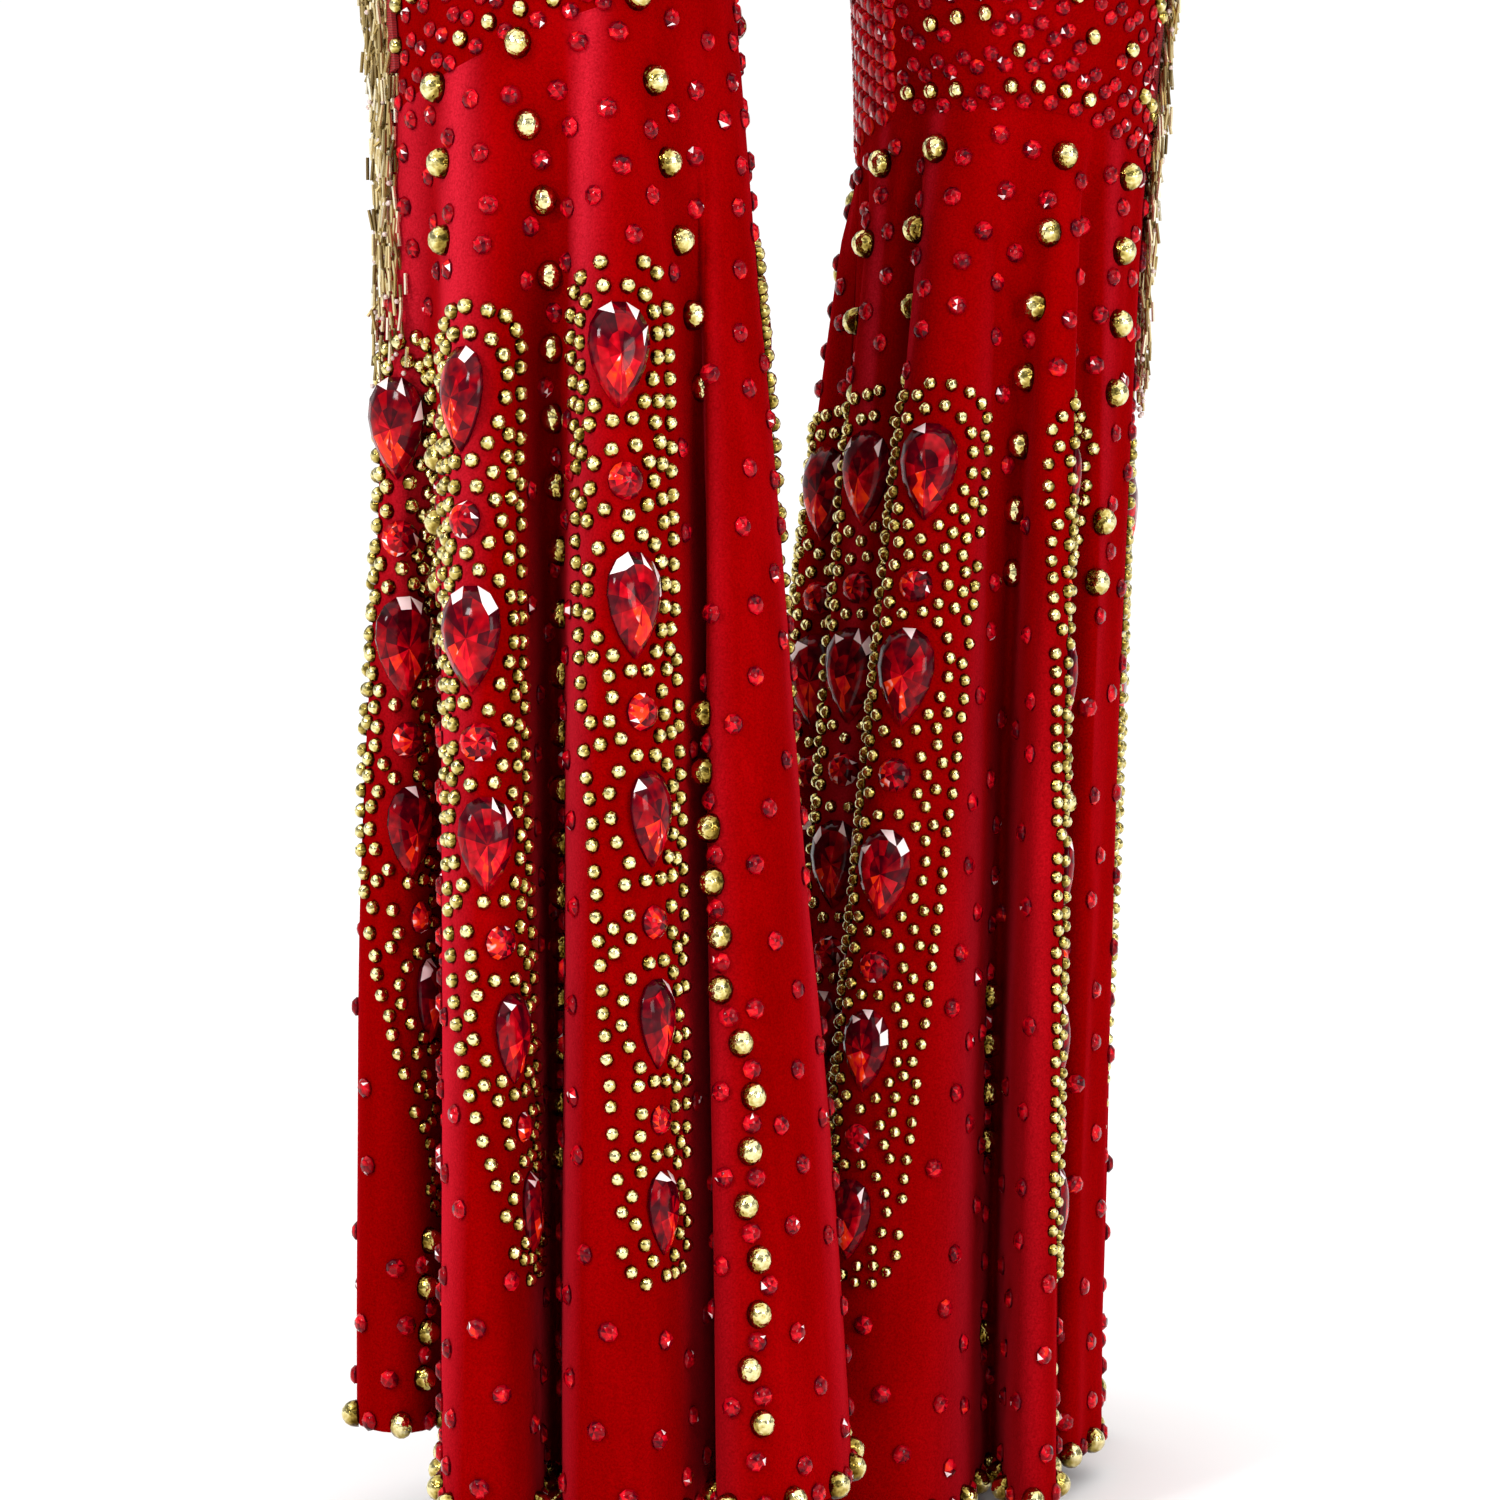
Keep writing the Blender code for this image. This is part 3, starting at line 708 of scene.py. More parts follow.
def crotch_row(leg, front, across, turn):
    """A row between trunk and leg: its inner end runs under the body on a quarter ellipse."""
    under = (1 - np.clip(across, 0, 1)) ** 2
    fall = turn / 90
    share = under * (1 - math.cos(math.radians(turn))) + (1 - under) * fall**2 * (3 - 2 * fall)
    drop = under * math.sin(math.radians(turn)) + (1 - under) * fall
    trunk = trunk_row(leg, front, across, CROTCH_TOP)
    row = trunk + (leg_row(leg, front, across, 0.0) - trunk) * share[:, None]
    row[:, 2] = CROTCH_TOP - (CROTCH_TOP - CROTCH) * drop
    return row


def outward(grid, middle):
    """Unit normals of a grid of points, all turned away from the line inside it."""
    normal = unit(np.cross(np.gradient(grid, axis=0), np.gradient(grid, axis=1)))
    turned = np.sum(normal * (grid - middle), axis=(0, 1, 2)) < 0
    return -normal if turned else normal


def within(normal, axis):
    """The normals laid into the plane square to an axis, for an edge that lies in it."""
    laid = normal.copy()
    laid[..., axis] = 0
    return unit(laid)


def drawn_in(points, neighbours):
    """An edge's points moved towards the next row of their piece, to leave the seam's gap."""
    return points + EDGE * unit(neighbours - points)


def sunk(face, normal, seam_row):
    """An outer face whose sides and whose one seam row dip, as sewing draws them in."""
    dip = np.zeros(face.shape[:2])
    dip[:, 0] = SEAM_DIP
    dip[:, -1] = SEAM_DIP
    dip[seam_row] = SEAM_DIP
    return face - dip[..., None] * normal


def wrinkles(grid):
    """Soft drag lines of a stretch garment, in metres, that waver round the body. The arm's
    fade away from the armhole, and the seat's are on the back alone."""
    x, y, z = np.moveaxis(grid, -1, 0)
    out = np.abs(x)
    behind = np.tanh(y / 0.04)
    ways = np.stack([z, out, y, x, behind], axis=-1)
    only = {"arm": np.exp(-(((out - 0.13) / 0.04) ** 2)), "seat": (1 + behind) / 2}
    lines = 0
    for name, (height, reach, *rates, depth) in WRINKLES.items():
        wave = np.exp(-(((z - height) / reach) ** 2)) * np.sin(ways @ rates)
        lines = lines + depth * wave * only.get(name, 1)
    return lines * (0.55 + 0.45 * np.sin(19 * x + 11 * z + 2 * behind))


def upper_panel(leg, front):
    """(outer, inner, middle, normal) of a front or back, from the shoulder to the knee seam."""
    across = np.arange(-1, UPPER_COLUMNS + 2) / UPPER_COLUMNS
    rows = [chest_row(leg, front, across, row) for row in chest_rows(front)[:0:-1]]
    side_top = len(rows)
    heights = np.linspace(CHEST, CROTCH_TOP, TRUNK_ROWS + 1)
    rows += [trunk_row(leg, front, across, height) for height in heights]
    turns = np.linspace(0, 90, CROTCH_ROWS + 1)[1:-1]
    rows += [crotch_row(leg, front, across, turn) for turn in turns]
    fork = len(rows)
    rows += [leg_row(leg, front, across, drop) for drop in np.linspace(0, 1, LEG_ROWS + 1)]
    grid = np.array(rows)
    axis = np.array([leg.side * INSIDE, 0.0, 0.0]) + grid * [0, 0, 1]
    normal = outward(grid, axis)[:, 1:-1]
    grid = grid[:, 1:-1]
    normal[: side_top + 1] = chest_normals(leg, front, grid[: side_top + 1])
    centre = slice(int(np.argmax(grid[:, 0, 0] * leg.side <= 1e-9)), fork + 1)
    normal[centre, 0] = within(normal[centre, 0], 0)
    normal[0] = within(normal[0], 1)
    normal[side_top, -1] = within(normal[side_top, -1], 1)
    normal[-1] = within(normal[-1], 2)
    grid = grid + wrinkles(grid)[..., None] * normal
    faces = []
    for offset in (WALL / 2, -WALL / 2):
        face = grid + offset * normal
        face[side_top:, -1] = drawn_in(face[side_top:, -1], face[side_top:, -2])
        face[fork:, 0] = drawn_in(face[fork:, 0], face[fork:, 1])
        face[centre, 0, 0] = leg.side * EDGE
        face[0] = drawn_in(face[0], face[1])
        face[-1] = drawn_in(face[-1], face[-2])
        faces.append(face)
    return sunk(faces[0], normal, -1), faces[1], grid, normal


def knot(leg, index, down, span):
    """A crest or trough on its way from knee to hem, and its curve's handle.

    At the knee the handle is a third of the ring's own arc `span`, so that the curve is the
    ring; at the hem it lies square to the way the fold faces and has the table's length.
    """
    fold = Fold(*(read(leg.folds, name)[index] for name in Fold._fields))
    knee_turn, hem_turn, facing = np.radians([fold.knee, fold.hem, fold.facing])
    knee = leg_surface(leg, knee_turn, 1.0)
    ahead = leg_surface(leg, knee_turn + STEP / 2, 1.0)
    behind = leg_surface(leg, knee_turn - STEP / 2, 1.0)
    knee_handle = (ahead - behind) / STEP * span[:, None] / 3
    out = np.stack([leg.side * np.sin(hem_turn), -np.cos(hem_turn), 0 * hem_turn], axis=-1)
    along = np.stack([leg.side * np.cos(facing), np.sin(facing), 0 * facing], axis=-1)
    middle = np.array([leg.side * leg.hem_reach, leg.hem_stride, leg.hem_height])
    hem = middle + out * fold.radius[:, None]
    hem_handle = along * fold.round[:, None]
    swing = 1 - (1 - down) ** fold.spring
    share = np.stack([swing, swing, down], axis=-1)
    turned = (1 - (1 - down) ** HANDLE_SPRING)[:, None]
    return knee + (hem - knee) * share, knee_handle + (hem_handle - knee_handle) * turned


def flare_surface(leg, around, down):
    """Points of a flare: `around` in folds, `down` from the knee seam, 0, to the hem, 1.

    Each half fold is one Bezier curve, tangent to the round at its crest and its trough.
    """
    knee = np.radians(read(leg.folds, "knee"))
    count = len(knee)
    shape = np.shape(around)
    around = np.ravel(around)
    down = np.clip(np.ravel(down), 0, 1)
    start = np.floor(2 * around + 1e-9).astype(int)
    t = (2 * around - start)[:, None]
    low = start % count
    high = (start + 1) % count
    span = (knee[high] - knee[low]) % (2 * math.pi)
    first, first_handle = knot(leg, low, down, span)
    last, last_handle = knot(leg, high, down, span)
    points = (
        (1 - t) ** 3 * first
        + 3 * (1 - t) ** 2 * t * (first + first_handle)
        + 3 * (1 - t) * t**2 * (last - last_handle)
        + t**3 * last
    )
    return points.reshape(*shape, 3)


def slopes(surface, leg, around, down):
    """How a surface runs across and along at a place."""
    across = surface(leg, around + STEP, down) - surface(leg, around - STEP, down)
    return across, surface(leg, around, down + STEP) - surface(leg, around, down - STEP)


def slopes_out(leg, across, along):
    """Outward unit normals from a surface's two slopes."""
    return unit(np.cross(across, along)) * leg.side * -1


def away_round(around, line):
    """Folds from a line to a place, the shorter way round."""
    return (around - line + FOLDS / 2) % FOLDS - FOLDS / 2


def band(mark, around, down):
    """A bell curve across a band's line, 1 at its middle, that fades in and out downwards."""
    line = mark.top_around + (mark.foot_around - mark.top_around) * down
    middle = (mark.top + mark.foot) / 2
    half = (mark.foot - mark.top) / 2
    fade = np.clip(1 - ((down - middle) / half) ** 2, 0, 1)
    return np.exp(-((away_round(around, line) / mark.width) ** 2)) * fade


def cloth(leg, around, down):
    """The flare with its ripples and soft creases, and its hem lower at the longest place."""
    down = np.clip(down, 0, 1)
    out = slopes_out(leg, *slopes(flare_surface, leg, around, down))
    lift = RIPPLE * np.sin(2 * math.pi * 3 * around + 9 * down) * np.sin(7 * down + around)
    for crease in leg.creases:
        lift = lift + crease.strength * band(crease, around, down)
    lift = lift * np.clip(down / CREASE_START, 0, 1)
    points = flare_surface(leg, around, down) + out * lift[..., None]
    away = away_round(around, leg.longest) / HEM_FALL_WIDTH
    points[..., 2] -= leg.hem_fall * np.exp(-(away**2)) * down**3
    return points


def frames(surface, leg, around, down):
    """(points, axes) on the outer face of a flare's cloth or a thigh's surface: the columns are
    unit vectors across it, down it and out of it."""
    across, along = slopes(surface, leg, around, down)
    out = slopes_out(leg, across, along)
    fall = unit(along - np.sum(along * out, axis=-1, keepdims=True) * out)
    axes = np.stack([np.cross(fall, out), fall, out], axis=-1)
    return surface(leg, around, down) + WALL / 2 * out, axes


def flare_panel(leg, front):
    """(outer, inner, painted light) of a flare's front or back.

    The painted light is up to 1 down in a trough, where shade is painted dark on the pile, and
    down to -1 in a band where a highlight is painted pale.
    """
    first, last = leg.seams if front else (leg.seams[1], leg.seams[0] + FOLDS)
    steps = round((last - first) * 2 * HALF_FOLD_STEPS)
    down, around = np.meshgrid(
        np.linspace(0, 1, FLARE_ROWS + 1), np.linspace(first, last, steps + 1), indexing="ij"
    )
    middle = cloth(leg, around, down)
    across = cloth(leg, around + STEP, down) - cloth(leg, around - STEP, down)
    normal = slopes_out(leg, across, np.gradient(middle, axis=0))
    normal[0] = within(normal[0], 2)
    normal[-1] = within(normal[-1], 2)
    faces = []
    for offset in (WALL / 2, -WALL / 2):
        face = middle + normal * offset
        face[:, 0] = drawn_in(face[:, 0], face[:, 1])
        face[:, -1] = drawn_in(face[:, -1], face[:, -2])
        face[0] = drawn_in(face[0], face[1])
        faces.append(face)
    # Painted shade: darker in every trough, more so down the flare
    nap_and_painted_light = (0.5 - 0.5 * np.cos(2 * math.pi * around)) ** 2 * np.clip(down * 2.5, 0, 1)
    # Bands of painted highlight, and of painted shade where strength is below 0
    for light_band in leg.brushes:
        cover = light_band.strength * band(light_band, around, down)
        nap_and_painted_light = nap_and_painted_light * (1 - cover) - cover
    return sunk(faces[0], normal, 0), faces[1], nap_and_painted_light


# Meshes


def lowered(points):
    return np.asarray(points) - [0, 0, SHOULDER]


def shown(name, data):
    """An object of a mesh, a lamp or a camera, in the scene."""
    thing = bpy.data.objects.new(name, data)
    bpy.context.collection.objects.link(thing)
    return thing


def mesh_piece(name, material, points, faces, values=None, flat=False):
    """A mesh from arrays: points in metres above the hem, and faces of one size.

    `values`, one for each face or each point, are what the material reads as tint.
    """
    points = lowered(points).reshape(-1, 3)
    mesh = bpy.data.meshes.new(name)
    mesh.vertices.add(len(points))
    mesh.loops.add(faces.size)
    mesh.polygons.add(len(faces))
    mesh.vertices.foreach_set("co", points.astype(np.float32).ravel())
    mesh.loops.foreach_set("vertex_index", faces.astype(np.int32).ravel())
    starts = np.arange(len(faces), dtype=np.int32) * faces.shape[1]
    mesh.polygons.foreach_set("loop_start", starts)
    mesh.update(calc_edges=True)
    if values is not None:
        domain = "FACE" if np.size(values) == len(faces) else "POINT"
        tint = mesh.attributes.new("tint", "FLOAT", domain)
        tint.data.foreach_set("value", np.asarray(values, np.float32).ravel())
    mesh.materials.append(material)
    if not flat:
        mesh.shade_smooth()
    piece = shown(name, mesh)
    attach(piece, "root")
    return piece


def turned_in(points, quads, outward_ways):
    """Whether most quads face against the ways given for them."""
    corner = points.reshape(-1, 3)[quads]
    facing = np.cross(corner[:, 1] - corner[:, 0], corner[:, 3] - corner[:, 0])
    return np.sum(facing * outward_ways) < 0


def shell(name, material, outer, inner, values=None):
    """A closed wall: two grids of points back to back, and a strip round their edges."""
    rows, columns = outer.shape[:2]
    index = np.arange(rows * columns).reshape(rows, columns)
    quads = np.stack([index[:-1, :-1], index[1:, :-1], index[1:, 1:], index[:-1, 1:]], -1)
    quads = quads.reshape(-1, 4)
    rim = np.concatenate([index[0], index[1:, -1], index[-1, -2::-1], index[-2:0:-1, 0]])
    far = rows * columns
    ahead = np.roll(rim, -1)
    sides = np.stack([rim, ahead, ahead + far, rim + far], -1)
    if turned_in(outer, quads, (outer - inner).reshape(-1, 3)[quads[:, 0]]):
        quads = quads[:, ::-1]
        sides = sides[:, ::-1]
    if values is not None:
        values = np.tile(np.ravel(values), 2)
    faces = np.concatenate([quads, quads[:, ::-1] + far, sides])
    piece = mesh_piece(name, material, np.stack([outer, inner]), faces, values)
    piece.data.set_sharp_from_angle(angle=math.radians(55))
    return piece


def rounded_strip(name, material, edge, normal):
    """A soft band sewn round an opening: a closed tube of flattened rounds along its edge."""
    tangent = unit(np.roll(edge, -1, axis=0) - np.roll(edge, 1, axis=0))
    away = unit(np.cross(tangent, normal))
    if np.sum(away * (edge - edge.mean(axis=0))) > 0:
        away = -away
    angles = (np.arange(BINDING_SIDES) + 0.5) * 2 * math.pi / BINDING_SIDES
    out = 2 * EDGE + BINDING_WIDTH / 2 * (1 + power(np.cos(angles), 0.6))
    rise = BINDING_THICK / 2 * power(np.sin(angles), 0.6)
    points = edge[:, None] + out[:, None] * away[:, None] + rise[:, None] * normal[:, None]
    index = np.arange(points[..., 0].size).reshape(points.shape[:2])
    ahead = np.roll(index, -1, axis=0)
    faces = np.stack([index, np.roll(index, -1, axis=1), np.roll(ahead, -1, axis=1), ahead], -1)
    faces = faces.reshape(-1, 4)
    ways = (points - points.mean(axis=1, keepdims=True)).reshape(-1, 3)
    if turned_in(points, faces, ways):
        faces = faces[:, ::-1]
    return mesh_piece(name, material, points, faces)


def edge_loop(*runs):
    """Edge points of several panels in one closed run; where two panels meet, one point."""
    points = [point for run in runs for point in run]
    kept = [points[0]]
    for point in points[1:]:
        if np.linalg.norm(point[0] - kept[-1][0]) > 3 * EDGE:
            kept.append(point)
    if np.linalg.norm(kept[0][0] - kept[-1][0]) < 3 * EDGE:
        kept.pop()
    return np.array([point[0] for point in kept]), unit(np.array([point[1] for point in kept]))


def neck_run(panel, leg):
    """The neck's edge on one panel, from the centre line up to the shoulder."""
    _, _, grid, normal = panel
    bottom = int(np.argmax(grid[:, 0, 0] * leg.side <= 1e-9))
    return list(zip(grid[bottom::-1, 0], normal[bottom::-1, 0]))


def arm_run(panel):
    """The armhole's edge on one panel, from the underarm up to the shoulder."""
    _, _, grid, normal = panel
    foot = (len(CHEST_FRONT) - 1) * CHEST_STEPS
    return list(zip(grid[foot::-1, -1], normal[foot::-1, -1]))


# Small shapes, lying on the XY plane: of radius 1, or a drop or round stone's real size


def circle(sides):
    """Points round a circle of radius 1."""
    turn = np.arange(sides) * 2 * math.pi / sides
    return np.stack([np.cos(turn), np.sin(turn)], axis=-1)


def outlined(outline, profile):
    """(points, triangles, steps) of a solid over any outline, which each level of the profile
    scales by its radius and lifts to its height; a fan closes both ends. `steps` gives each
    triangle's level of the profile, -1 at the foot, and its segment of the outline."""
    sides = len(outline)
    levels = [np.column_stack([outline * radius, np.full(sides, rise)]) for radius, rise in profile]
    points = [*levels, [[0.0, 0.0, profile[0][1]]], [[0.0, 0.0, profile[-1][1]]]]
    ring = np.arange(sides)
    ahead = (ring + 1) % sides
    foot = len(profile) * sides
    top = foot - sides
    triangles = [(-1, ahead, ring, np.full(sides, foot))]
    for level in range(len(profile) - 1):
        near = level * sides
        far = near + sides
        triangles.append((level, near + ring, near + ahead, far + ahead))
        triangles.append((level, near + ring, far + ahead, far + ring))
    triangles.append((len(profile) - 1, top + ring, top + ahead, np.full(sides, foot + 1)))
    steps = [np.stack([np.full(sides, level), ring], -1) for level, *_ in triangles]
    corners = [np.stack(three, -1) for _, *three in triangles]
    return np.concatenate(points), np.concatenate(corners), np.concatenate(steps)


def half_ball(sides, rows):
    """A stud: a little more than half a ball on a narrow rim."""
    rises = np.radians(np.linspace(0, 90, rows + 1)[:-1])
    profile = [(1.0, -0.1)] + [(math.cos(rise), 0.08 + math.sin(rise)) for rise in rises]
    shape = outlined(circle(sides), profile)
    shape[0][-1, 2] = 1.08
    return shape


def taper(turn):
    """How much narrower than a full round a drop is, round it from its round end."""
    return np.clip((1 + np.cos(turn)) / 2, 0, 1) ** 0.36 / 0.83


def pear_outline(sides):
    """A drop with its point down the cloth."""
    turn = (np.arange(sides) + 0.5) * 2 * math.pi / sides
    width = -PEAR_WIDTH / 2 * np.sin(turn) * taper(turn)
    return np.stack([width, -PEAR_LENGTH / 2 * np.cos(turn)], axis=-1)


def copies(name, material, shape, points, axes, sizes, values=None, flat=False):
    """Many copies of one small shape in one mesh: point + axes times (size times the shape's
    point).

    `values` hold one number for each copy and each point, or each face, of the shape.
    """
    template, triangles = shape[:2]
    local = template[None] * np.broadcast_to(sizes, (len(points), 3))[:, None]
    placed = points[:, None] + np.einsum("mij,mnj->mni", axes, local)
    faces = triangles[None] + (np.arange(len(points)) * len(template))[:, None, None]
    return mesh_piece(name, material, placed, faces.reshape(-1, 3), values, flat)


def spun(axes, angles):
    """Axes turned about their own outward axis."""
    across, fall, out = np.moveaxis(axes, -1, 0)
    c = np.cos(angles)[:, None]
    s = np.sin(angles)[:, None]
    return np.stack([across * c + fall * s, fall * c - across * s, out], axis=-1)


# Layout of the stones


class Chart:
    """Measured rounds of a flare, to step sideways along the cloth by a real length."""

    def __init__(self, leg):
        self.around = np.linspace(-1, FOLDS + 1, (FOLDS + 2) * CHART_COLUMNS + 1)
        down, around = np.meshgrid(np.linspace(0, 1, CHART_ROWS + 1), self.around, indexing="ij")
        steps = np.linalg.norm(np.diff(cloth(leg, around, down), axis=1), axis=-1)
        self.run = np.pad(np.cumsum(steps, axis=1), ((0, 0), (1, 0)))

    def beside(self, around, down, offset):
        """`around` moved by `offset` metres along the level round at `down`."""
        row = min(int(down * CHART_ROWS), CHART_ROWS - 1)
        share = down * CHART_ROWS - row
        found = []
        for run in self.run[row : row + 2]:
            start = np.interp(around, self.around, run)
            found.append(np.interp(start + offset, run, self.around))
        return found[0] * (1 - share) + found[1] * share

    def hem_length(self):
        """The cloth's length once round the hem."""
        return np.diff(np.interp((0, FOLDS), self.around, self.run[-1]))[0]


def plume_width(leg, down):
    """Half a plume's width: it narrows more and more downwards, and is rounded at both ends."""
    share = np.clip((down - leg.plume_top) / (leg.plume_foot - leg.plume_top), 0, 1)
    width = PLUME_HALF_WIDTH + (PLUME_FOOT_WIDTH - PLUME_HALF_WIDTH) * share**1.8
    top = np.clip((down - leg.plume_top) * FLARE_LENGTH / PLUME_TOP_ROUND, 0, 1)
    foot = np.clip((leg.plume_foot - down) * FLARE_LENGTH / PLUME_FOOT_ROUND, 0, 1)
    return width * np.sqrt(1 - (1 - top) ** 2) * np.sqrt(1 - (1 - foot) ** 2)


def stone_outline(drop, clear, count):
    """Points round a stone at a distance from its edge, as (across, along) in metres."""
    turn = np.arange(count) * 2 * math.pi / count
    if drop.pear:
        width = PEAR_WIDTH / 2 * drop.size * taper(turn) + clear * np.abs(np.sin(turn)) ** 0.3
        height = PEAR_LENGTH / 2 * drop.size + clear
    else:
        width = height = ROUND_STONE * drop.size + clear
    return np.stack([width * np.sin(turn), -height * np.cos(turn)], axis=-1)


def spaced(loop, pitch):
    """Points an even step apart along a closed run of many points."""
    along = np.cumsum(np.linalg.norm(np.diff(loop, axis=0, append=loop[:1]), axis=1))
    number = int(along[-1] / pitch)
    return loop[np.searchsorted(along, (np.arange(number) + 0.5) * along[-1] / number)]


def plume_studs(leg, rng):
    """(across, down) of the small studs of one plume: a ring round each pear, a row just inside
    the outline, a ring round each round stone, and then wherever there is still room."""
    scale = leg.stud / STUD
    pitch = STUD_PITCH * scale
    top = leg.plume_top * FLARE_LENGTH
    foot = leg.plume_foot * FLARE_LENGTH
    rings = {True: [], False: []}
    blocked = []
    for drop in leg.drops:
        middle = np.array([0, drop.down * FLARE_LENGTH])
        blocked += [middle + stone_outline(drop, inset, 48) for inset in (0.0, -0.003, -0.006)]
        rings[drop.pear].append(middle + spaced(stone_outline(drop, RING_CLEAR, 400), pitch))
    side_down = np.arange(top, foot, 0.0004)
    half = plume_width(leg, side_down / FLARE_LENGTH) - leg.stud
    right = np.column_stack([half, side_down])[half > 0]
    outline = spaced(np.concatenate([right, (right * [-1, 1])[::-1]]), pitch)
    fill_down = np.arange(top, foot, FILL_STEP)
    fill_out = np.arange(-PLUME_HALF_WIDTH, PLUME_HALF_WIDTH, FILL_STEP)
    fill = np.stack(np.meshgrid(fill_out, fill_down), axis=-1).reshape(-1, 2)
    fill = fill + rng.uniform(-FILL_STRAY, FILL_STRAY, fill.shape)
    tries = np.concatenate([*rings[True], outline, *rings[False], fill])
    tries += rng.normal(scale=SEWN_STRAY, size=tries.shape)
    inside = np.abs(tries[:, 0]) < plume_width(leg, tries[:, 1] / FLARE_LENGTH) - leg.stud * 0.9
    gap = np.linalg.norm(tries[:, None] - np.concatenate(blocked)[None], axis=2).min(axis=1)
    tries = tries[inside & (gap > leg.stud * 1.15)]
    room = scale * np.interp(tries[:, 1], (top, foot), (STUD_ROOM, STUD_ROOM_FOOT))
    taken = tries[:1]
    for point, apart_by in zip(tries[1:], room[1:]):
        if np.min(np.sum((taken - point) ** 2, axis=1)) > apart_by**2:
            taken = np.concatenate([taken, point[None]])
    return taken[:, 0], taken[:, 1] / FLARE_LENGTH


def plume_line(leg, plume, down):
    """`around` on a plume's middle line."""
    return np.interp(down, (leg.plume_top, PLUME_MIDDLE, leg.plume_foot), plume)


class Setting(NamedTuple):
    """Places for one kind of stone: points, axes and sizes."""

    points: np.ndarray
    axes: np.ndarray
    sizes: np.ndarray


def joined(settings):
    return Setting(*(np.concatenate(column) for column in zip(*settings)))


def kept(setting, keep):
    return Setting(*(column[keep] for column in setting))


def set_on(surface, leg, around, down, size):
    """Stones of one size, or each of its own, on a flare's cloth or a thigh's surface."""
    around = np.asarray(around, float)
    points, axes = frames(surface, leg, around, down)
    return Setting(points, axes, np.broadcast_to(size, len(around)).astype(float))


def uncrowded(setting, walls, room):
    """The stones with open space over them: a ray out of each meets no cloth within room."""
    keep = []
    for point, axes in zip(lowered(setting.points), setting.axes):
        out = Vector(axes[:, 2])
        hit = walls.ray_cast(Vector(point) + out * 0.0006, out, room)
        keep.append(hit[0] is None)
    return kept(setting, keep)


def apart(setting, others, room):
    """The stones that stand at least `room` from every one of the other points."""
    keep = [np.min(np.linalg.norm(others - point, axis=1)) > room for point in setting.points]
    return kept(setting, keep)


def thigh_drop(leg, turn, above):
    """The `drop` of a place so many metres above the knee seam."""
    seam = knee_seam(leg, turn)
    return 1 - above / (CROTCH - seam)


# Materials


def linear(code):
    """An sRGB hex colour, or a plain grey level, as linear red, green, blue and a full alpha."""
    if isinstance(code, float):
        return (code, code, code, 1)
    values = np.array([int(code[i : i + 2], 16) for i in (1, 3, 5)]) / 255
    return (*np.where(values <= 0.04045, values / 12.92, ((values + 0.055) / 1.055) ** 2.4), 1)


def feed(tree, node, inputs):
    """Gives each of a node's inputs a plain value, or another node's output."""
    for key, value in inputs.items():
        if isinstance(value, bpy.types.NodeSocket):
            tree.links.new(node.inputs[key], value)
        else:
            node.inputs[key].default_value = value


def add(tree, kind, output, inputs=None, stops=(), **settings):
    """Adds a shader node and gives back the output asked for; `stops` are a colour ramp's, each
    of a level and a hex colour or a grey."""
    node = tree.nodes.new("ShaderNode" + kind)
    for key, value in settings.items():
        setattr(node, key, value)
    if stops:
        elements = node.color_ramp.elements
        while len(elements) < len(stops):
            elements.new(1.0)
        for element, (level, code) in zip(elements, stops):
            element.position = level
            element.color = linear(code)
    feed(tree, node, inputs or {})
    return node.outputs[output]


def new_material(name):
    """An empty Principled material: (material, its tree, its shader)."""
    material = bpy.data.materials.new(name)
    material.use_nodes = True
    return material, material.node_tree, material.node_tree.nodes["Principled BSDF"]


